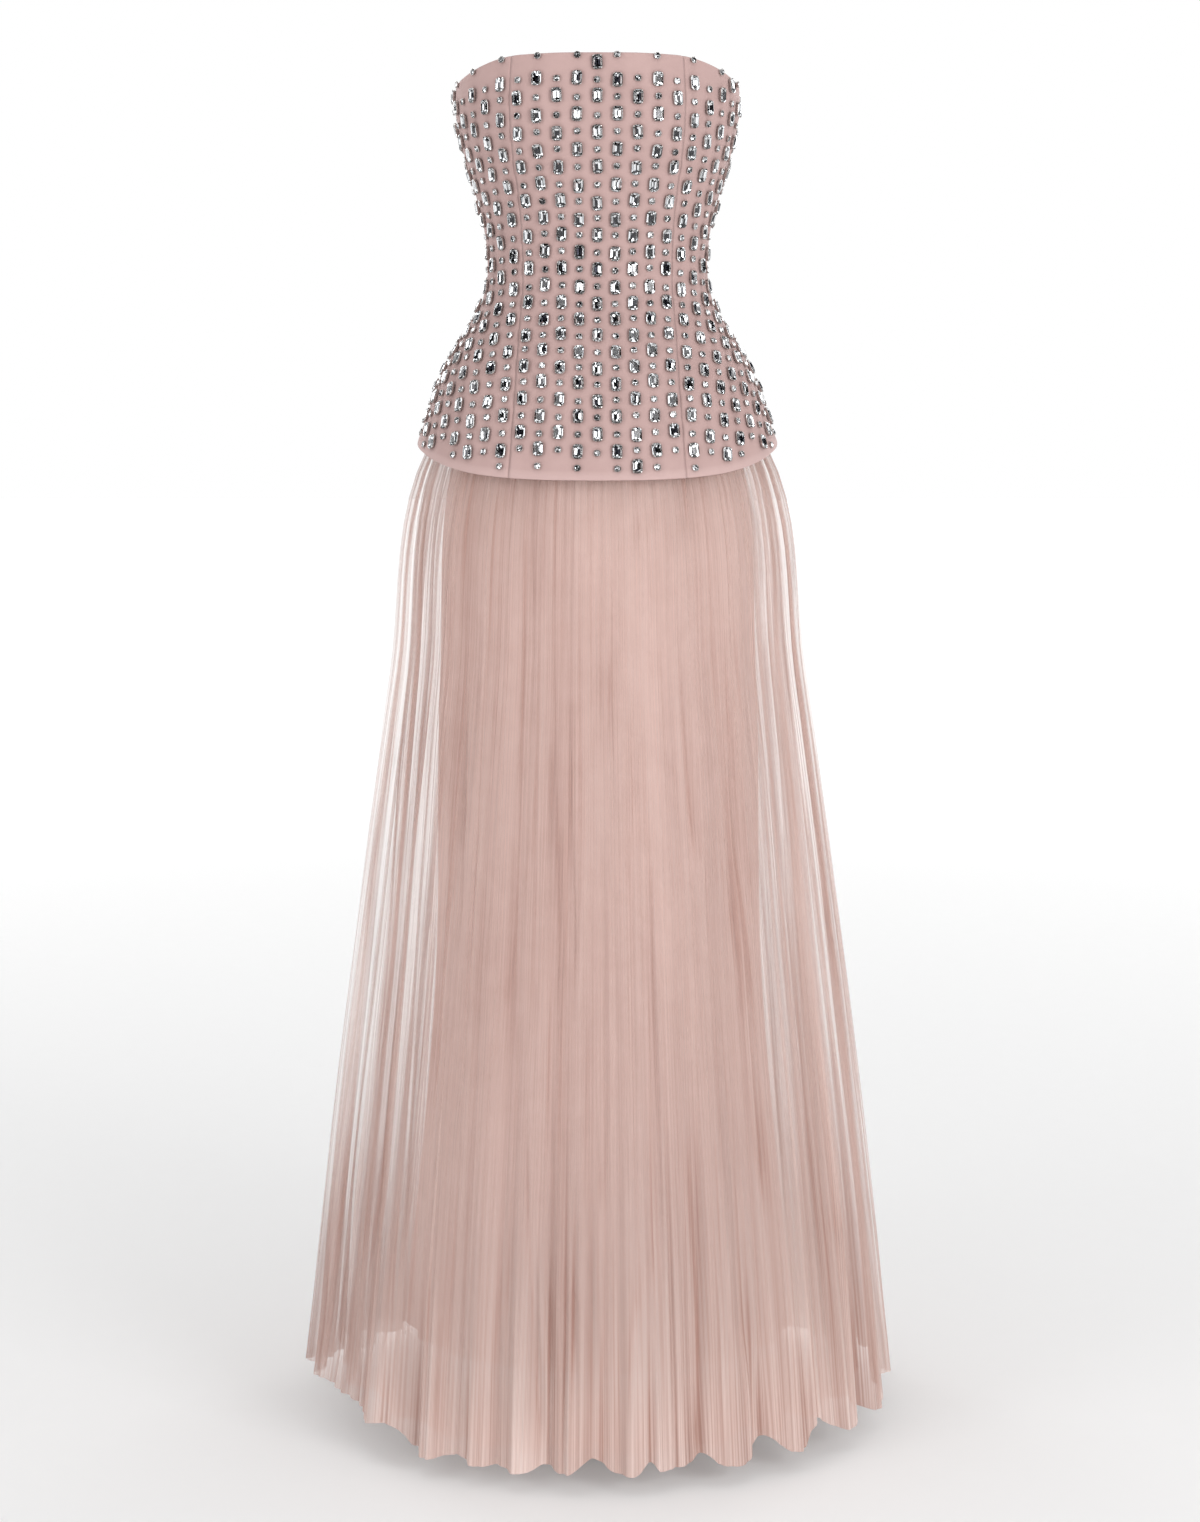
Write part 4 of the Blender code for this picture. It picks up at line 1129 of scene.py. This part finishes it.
# Main folds: angle from the centre front towards the wearer's left (degrees), the heights that
# each runs between, how far it swings (degrees) on its way down, its width at the hem and depth.
Fold = namedtuple("Fold", "angle top bottom swing width depth")
SKIRT_FOLDS = [Fold(*row) for row in (
    (-76, -300, -1124, -2, 22, 9.0), (-64, -420, -1124, -2, 24, 10.0),
    (-56, -190, -900, 2, 16, 7.0), (-48, -300, -620, 3, 13, 8.0),
    (-41, -190, -760, 0.5, 14, 10.0), (-36, -640, -1124, -3, 26, 12.0),
    (-26, -1000, -1112, 0, 8, 9.0), (-22, -240, -700, 2, 15, 7.0),
    (-14, -225, -640, 4.5, 12, 11.0), (-16.4, -740, -1080, 4.4, 16, 11.0),
    (-5, -840, -1000, 0, 12, 9.0), (1, -200, -420, 0, 11, 9.0),
    (9.6, -980, -1124, 0, 12, 9.0), (13, -300, -900, -2, 16, 8.0),
    (20, -200, -520, 4, 15, 8.0), (24, -480, -1100, -4.5, 15, 10.0),
    (30.3, -780, -1000, 0, 13, 10.0), (33.3, -1000, -1124, 0, 12, 9.0),
    (38, -360, -560, 1, 16, 9.0), (43, -820, -1124, 1, 16, 10.0),
    (52, -260, -1124, 3, 22, 10.0), (63, -560, -1124, 2, 24, 11.0),
    (74, -300, -1124, 3, 22, 9.0), (92, -300, -1124, 2, 24, 10.0),
    (104, -560, -1100, -3, 20, 9.0), (117, -240, -960, 2, 18, 8.0),
    (129, -480, -1124, 3, 25, 11.0), (142, -300, -1124, -2, 20, 9.0),
    (155, -640, -1124, 2, 23, 10.0), (167, -260, -1000, -2, 17, 7.0),
    (-92, -520, -1124, -2, 23, 10.0), (-105, -280, -1060, 3, 19, 8.0),
    (-118, -600, -1124, -3, 26, 12.0), (-130, -220, -940, 2, 17, 7.0),
    (-143, -440, -1124, -3, 22, 10.0), (-156, -300, -1124, 2, 20, 9.0),
    (-168, -560, -1090, -2, 22, 9.0),
)]
# Thin lines of thicker or thinner net: how strong, how they wander, how many round and down the
# skirt, how thin, and their seed.
Strand = namedtuple("Strand", "amount wander around tall sharp seed")
STRANDS = (
    Strand(0.90, 1.0, 110, 3, 9, 6),
    Strand(0.55, -1.0, 230, 4, 5, 7),
    Strand(-0.80, 0.5, 160, 3, 6, 8),
)
# The valleys count into the lines: the net is denser there, and shade is painted there.
VALLEY_LINE = 0.55
PATCH_LINE = 0.35
SEAM_LINE = 0.5
SEAM_BAND = 4.0
# Radius by which the hem's angle becomes a flat width, in millimetres.
HEM_RADIUS = 300.0
# Layers of tulle: how far each lies from the outer form (0) towards the lining's (1), how much
# shorter it is, how far its folds are shifted, how dense it is, its grid and its seed.
Layer = namedtuple("Layer", "name share lift shift density rows columns seed")
LAYERS = (
    Layer("outer", 0.00, 0.0, 0.0, 0.00, 50, 1080, 21),
    Layer("inner", 0.34, 5.0, 0.4, 0.02, 40, 720, 23),
)
# The power that sets the rows closer towards the hem.
ROW_SPREAD = 1.15
# Its material: cells of the net a metre, and how much streaks and threads change the cover and
# the colour.
NET_CELLS = 800.0
STREAK_SCALE = 420.0
STREAK_STRETCH = 0.006
STREAK_VEIL = 0.15
STREAK_SHADE = 0.75
THREAD_VEIL = (0.75, 1.25)
TULLE_ROUGHNESS = 0.8


def patches(angle, down, around, tall, seed):
    """Smooth random numbers from -1 to 1 over the skirt: a grid of so many values round it and
    down it, joined both ways by half cosines."""
    values = np.random.default_rng(seed).uniform(-1.0, 1.0, (tall + 2, around))
    column = (angle / (2 * math.pi)) % 1.0 * around
    row = np.clip(down, 0.0, 1.0) * tall
    column, row = np.broadcast_arrays(column, row)
    i, j = np.floor(row).astype(int), np.floor(column).astype(int)
    a = (1 - np.cos((row - i) * math.pi)) / 2
    b = (1 - np.cos((column - j) * math.pi)) / 2
    j, after = j % around, (j + 1) % around
    above = values[i, j] * (1 - b) + values[i, after] * b
    below = values[i + 1, j] * (1 - b) + values[i + 1, after] * b
    return above * (1 - a) + below * a


def threads_of(angle, down, around, tall, sharp, seed):
    """Thin lines down the skirt where a smooth random field crosses zero, each fading in and
    out."""
    field = patches(angle, down, around, tall, seed)
    shown = np.clip(0.35 + 0.9 * patches(angle, down, around // 2, 3 * tall, seed + 50), 0.0, 1.0)
    return (1 - np.abs(field)) ** sharp * shown


def lobe_phase(angle):
    """Phase of the skirt's uneven lobes round the figure: the angle bent by slow sines, times the
    number of lobes."""
    bent = angle + sum(row.amount * np.sin(row.turns * angle + row.phase) for row in LOBE_BENDS)
    return LOBES * bent


def folded(layer, angle, height, calm, cut, valley):
    """The cut and the valleys with the main folds added: each is a bell across, steeper on its
    left and with a low ridge on both sides, that swings and widens on its way down."""
    for row in SKIRT_FOLDS:
        way = np.clip((row.top - height) / (row.top - row.bottom), 0.0, 1.0)
        centre = math.radians(row.angle) + math.radians(row.swing) * way + 0.15 * layer.shift
        aside = (angle - centre + math.pi) % (2 * math.pi) - math.pi
        aside = aside * read(SKIRT, "front_depth", height) / (row.width * (0.35 + 0.65 * way))
        deep = np.sin(way * math.pi / 2) * np.clip((height - row.bottom) / FOLD_FADE + 1, 0.0, 1.0)
        aside = np.where(aside > 0, FOLD_STEEP * aside, aside)
        hollow = np.exp(-np.abs(aside) ** 1.5)
        ridge = np.exp(-((np.abs(aside) - FOLD_RIDGE_ASIDE) ** 2))
        cut = cut + row.depth * calm * deep * (hollow - FOLD_RIDGE * ridge)
        wide, crisp = np.exp(-((2.2 * aside) ** 2)), np.exp(-((7.0 * aside) ** 2))
        valley = valley + deep * (0.6 * wide + 0.9 * crisp)
    return cut, valley


def hem_lift(layer, angle):
    """How far the cut hem is lifted: its table, with the lows held back by a hyperbolic tangent,
    and a small random unevenness."""
    lift = read(HEM_LIFTS, "lift", np.degrees(angle))
    lift = lift * (INNER_LIFT if layer.share > 0 else 1.0) + layer.lift
    lift = np.where(lift < 0, HEM_LOW * np.tanh(lift / HEM_LOW * HEM_LOW_SHARP), lift)
    return lift + HEM_UNEVEN * patches(angle, 0.0, 90, 1, layer.seed + 5)


def tulle_layer(layer, start, end):
    """Points, flat places, density and line darkness of one width of tulle. The oval is cut in by
    the lobes, by gathers that fade into one another and by the main folds, and the net is denser
    in thin lines down the folds, in the valleys and along the seams. Its colour is darker there,
    which in the valleys is painted shade, and shade is painted downwards and at the upper sides."""
    columns = round(layer.columns * (end - start) / math.pi)
    angle = np.linspace(start, end, columns + 1)[None, :]
    level = np.linspace(0.0, 1.0, layer.rows)[:, None] ** ROW_SPREAD
    height = SKIRT[0].height + level * (SKIRT[-1].height - SKIRT[0].height)
    down = (height - SKIRT[-1].height) / (SKIRT[0].height - SKIRT[-1].height)
    phase = lobe_phase(angle + layer.shift / LOBES)
    wander = WANDER_COARSE * patches(angle, down, 44, 3, layer.seed)
    wander = wander + WANDER_FINE * patches(angle, down, 170, 4, layer.seed + 1)
    gathered = GATHERS * (angle + wander) + 2.0 * layer.shift
    sharp = ((1 - np.cos(gathered)) / 2) ** 1.5
    uneven = 0.70 + 0.25 * np.sin(2.6 * phase + height * 0.004)
    uneven = uneven + GATHER_UNEVEN * patches(angle, down, 120, 5, layer.seed + 2)
    uneven = np.clip(uneven, 0.05, 1.6)
    fine = GATHER_FINE * patches(angle + 0.3 * wander, down, 430, 6, layer.seed + 3)
    calm = 1 - HEM_CALM * down**3
    lobe, gather = read(SKIRT, "lobe", height), read(SKIRT, "gather", height) * calm
    lobes = (1 - np.cos(phase)) / 2
    cut = lobe * lobes + gather * (sharp * uneven + fine)
    valley = 0.5 * sharp * uneven + 0.35 * lobes
    cut, valley = folded(layer, angle, height, calm, cut, valley)
    hoops = [(SKIRT, 1 - layer.share), (LINING, layer.share)]
    points = hung_point(hoops, angle, height, cut + FOLD_CLEAR)
    weight = np.clip((HEM_LIFT_TOP - height) / (HEM_LIFT_TOP - SKIRT[0].height), 0.0, 1.0)
    points[..., 2] += weight * hem_lift(layer, angle)
    lines = VALLEY_LINE * valley
    for row in STRANDS:
        at = angle + row.wander * wander
        seed = layer.seed + row.seed
        lines = lines + row.amount * threads_of(at, down, row.around, row.tall, row.sharp, seed)
    lines = lines + PATCH_LINE * patches(angle, down, 52, 2, layer.seed + 9)
    at_seam = np.minimum(angle - start, end - angle) * read(SKIRT, "front_depth", height)
    lines = lines + SEAM_LINE * np.exp(-((at_seam / SEAM_BAND) ** 2)) - LINE_MIDDLE
    aside = np.sin(angle)
    sides = aside**2 * (1 - down)
    density = TULLE_VEIL + LINE_VEIL * (1 - 0.5 * down) * lines + layer.density
    density = density + TULLE_THICKER * down**6 * (1 - 0.5 * aside**4)
    density = density + TULLE_ASIDE * aside * (1 + 2 * down) + TULLE_SIDES * sides
    # Painted shade: in the valleys through the lines, downwards and at the upper sides.
    dark = lines * (LINE_CONTRAST - CONTRAST_LOSS * down) + LINE_MIDDLE
    dark = dark + SHADE_ALL + SHADE_DOWN * down + SHADE_HEM * down**8 + SHADE_SIDES * sides
    hem_steps = np.linalg.norm(np.diff(points[0], axis=0), axis=1)
    hem_arc = np.concatenate([[0.0], np.cumsum(hem_steps)]) + start * HEM_RADIUS
    uv = np.stack([np.broadcast_to(hem_arc, points.shape[:2]), points[..., 2]], axis=-1) * MM
    return points, uv, np.clip(density, *TULLE_COVER), np.clip(dark, 0.0, LINE_DARKEST)


# The net's cells, from three sets of waves that cross at 60 degrees, and long streaks down it.
net = new_group("tulle_net", ("Vector", "Cells"), ("Threads", "Streaks"))
given = add_node(net, "NodeGroupInput").outputs
uv_parts = add_node(net, "ShaderNodeSeparateXYZ", {0: given["Vector"]}).outputs
cells = maths(net, "MULTIPLY", given["Cells"], 2 * math.pi)
u = maths(net, "MULTIPLY", uv_parts[0], cells)
v = maths(net, "MULTIPLY", maths(net, "MULTIPLY", uv_parts[1], cells), math.sqrt(3) / 2)
half = maths(net, "MULTIPLY", u, 0.5)
slants = [maths(net, "COSINE", maths(net, way, v, half)) for way in ("ADD", "SUBTRACT")]
waves = maths(net, "ADD", maths(net, "COSINE", u), maths(net, "ADD", *slants))
stretch = (1.0, STREAK_STRETCH, 1.0)
stretched = add_node(net, "ShaderNodeMapping", {"Vector": given["Vector"], "Scale": stretch})
streaks = noise(
    net, stretched.outputs[0], STREAK_SCALE, dimensions="2D", Detail=2.0, Roughness=0.6
)
threads = remapped(net, waves, -1.5, 1.2, 1.0, 0.0)
add_node(net, "NodeGroupOutput", {"Threads": threads, "Streaks": streaks})

tulle, tree, shader = new_material("tulle_layer")
net_inputs = {"Vector": cloth_place(tree), "Cells": NET_CELLS}
mesh_net = add_node(tree, "ShaderNodeGroup", net_inputs, node_tree=net).outputs
streak = remapped(tree, mesh_net["Streaks"], 0.32, 0.68, -0.5, 0.5)
veil = maths(tree, "MULTIPLY_ADD", streak, STREAK_VEIL, mask(tree, "net_density"))
thread_veil = remapped(tree, mesh_net["Threads"], 0.0, 1.0, *THREAD_VEIL)
veil = maths(tree, "MULTIPLY", veil, thread_veil)
lines = maths(tree, "MULTIPLY_ADD", streak, STREAK_SHADE, mask(tree, "lines_and_painted_shade"))
darkness = remapped(tree, lines, 0.0, 1.4, 0.0, 1.0)
fill(tree, shader, {
    "Base Color": mixed(tree, darkness, TULLE_LIGHT, TULLE_DARK),
    "Alpha": remapped(tree, veil, 0.02, 0.92, 0.02, 0.92),
    "Roughness": TULLE_ROUGHNESS,
    "Sheen Weight": 0.1,
    "Sheen Roughness": 0.5,
})

Width = namedtuple("Width", "name start end cut area")
WIDTHS = (
    Width("skirt_front", -0.5, 0.5, (1.20, 1.16), 1.00),
    Width("skirt_back_left", 0.5, 1.0, (0.60, 1.16), 0.50),
    Width("skirt_back_right", -1.0, -0.5, (0.60, 1.16), 0.50),
)
# Half the gap at a seam, as an angle at a middling radius of the skirt.
SEAM_RADIUS = 150
TULLE_SEAM = SEAM_GAP / 2 / SEAM_RADIUS
for layer in LAYERS:
    for width in WIDTHS:
        ends = width.start * math.pi + TULLE_SEAM, width.end * math.pi - TULLE_SEAM
        points, uv, density, lines = tulle_layer(layer, *ends)
        piece = add_surface(
            f"{width.name}_{layer.name}",
            points,
            grid_faces(*points.shape[:2]),
            [tulle],
            uv=uv,
            masks={"net_density": density, "lines_and_painted_shade": lines},
        )
        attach(piece, "gown")
        if layer.name == "outer":
            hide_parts(width.name)

# Zip
# A concealed zip at the centre back: woven tape inside the two back panels, a fine coil in the
# slot, and a small coated slider with a drop pull tab.
TAPE_SHADE = (0.40, 0.26, 0.24, 1.0)
TAPE_COLOUR = (0.50, 0.34, 0.31, 1.0)
TAPE_RIBS = 900.0
METAL_COLOUR = (0.50, 0.36, 0.33, 1.0)
METAL_WORN = (0.66, 0.54, 0.50, 1.0)
METAL_SCALE = 500.0
METAL_SPAN = (0.45, 0.65, 0.0, 1.0)
METAL_ROUGHNESS = (0.35, 0.65, 0.28, 0.42)
COIL_SHADE = (0.44, 0.29, 0.27, 1.0)
COIL_COLOUR = (0.52, 0.36, 0.33, 1.0)
# The coil that the slot shows: fine crosswise teeth in front of the tape, one each millimetre,
# each slanted up towards the wearer's left.
TOOTH_STEP = 1.0
TOOTH_SIZE = (1.15, 0.7, 0.55)
TOOTH_SLANT = 0.35
COIL_INSET = 2.75
COIL_ENDS = (-140.0, 148.0)
# Edges of the slider and the pull tab, rounded by so many metres.
METAL_ROUNDING = 0.00018
METAL_EDGE = math.radians(40)
WELD_DISTANCE = 1e-5

tape_cloth, tree, shader = new_material("zip_tape_weave")
rib_inputs = {"Vector": own_place(tree), "Scale": TAPE_RIBS, "Distortion": 0.4}
ribs = add_node(tree, "ShaderNodeTexWave", rib_inputs, bands_direction="Z").outputs["Fac"]
# Painted shade along the ribs: the tape is darker in their hollows.
fill(tree, shader, {
    "Base Color": mixed(tree, ribs, TAPE_SHADE, TAPE_COLOUR),
    "Roughness": 0.8,
    "Normal": bumped(tree, ribs, 0.3, 0.0001),
})
metal_colours = (METAL_COLOUR, METAL_WORN)
zip_metal = worn_metal(
    "zip_coated_metal", 0.85, METAL_SCALE, 3.0, metal_colours, METAL_SPAN, METAL_ROUGHNESS
)
coil, tree, shader = new_material("zip_coil")
# Painted gloss: the coil's colour is lighter in small random patches.
gloss = noise(tree, own_place(tree), 700.0)
fill(tree, shader, {"Base Color": mixed(tree, gloss, COIL_SHADE, COIL_COLOUR), "Roughness": 0.4})

heights = np.arange(COIL_ENDS[0], COIL_ENDS[1], TOOTH_STEP)
middles = bodice_point(math.pi, heights, COIL_INSET)
corner = np.array([(x, y, z) for z in (-1, 1) for y in (-1, 1) for x in (-1, 1)], float) / 2
slant = TOOTH_SLANT * (corner[:, 0] > 0)
tooth = corner * TOOTH_SIZE + np.column_stack([0 * slant, 0 * slant, slant])
points = middles[:, None, :] * [0.0, 1.0, 1.0] + tooth
quads = [(0, 2, 3, 1), (4, 5, 7, 6), (0, 1, 5, 4), (2, 6, 7, 3), (0, 4, 6, 2), (1, 3, 7, 5)]
quads = (np.arange(len(heights))[:, None, None] * 8 + np.array(quads)).reshape(-1, 4)
chain = add_surface("zip_coil", points, quads, [coil], smooth=False)
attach(chain, "gown")
for name in ("zip_slider", "zip_pull"):
    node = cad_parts[name]
    weld = node.modifiers.new("weld", "WELD")
    weld.merge_threshold = WELD_DISTANCE
    rounding = node.modifiers.new("rounding", "BEVEL")
    rounding.width = METAL_ROUNDING
    rounding.segments = 2
    rounding.limit_method = "ANGLE"
    rounding.angle_limit = METAL_EDGE
for name, finish in (("zip_tape", tape_cloth), ("zip_slider", zip_metal), ("zip_pull", zip_metal)):
    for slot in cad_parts[name].material_slots:
        slot.material = finish
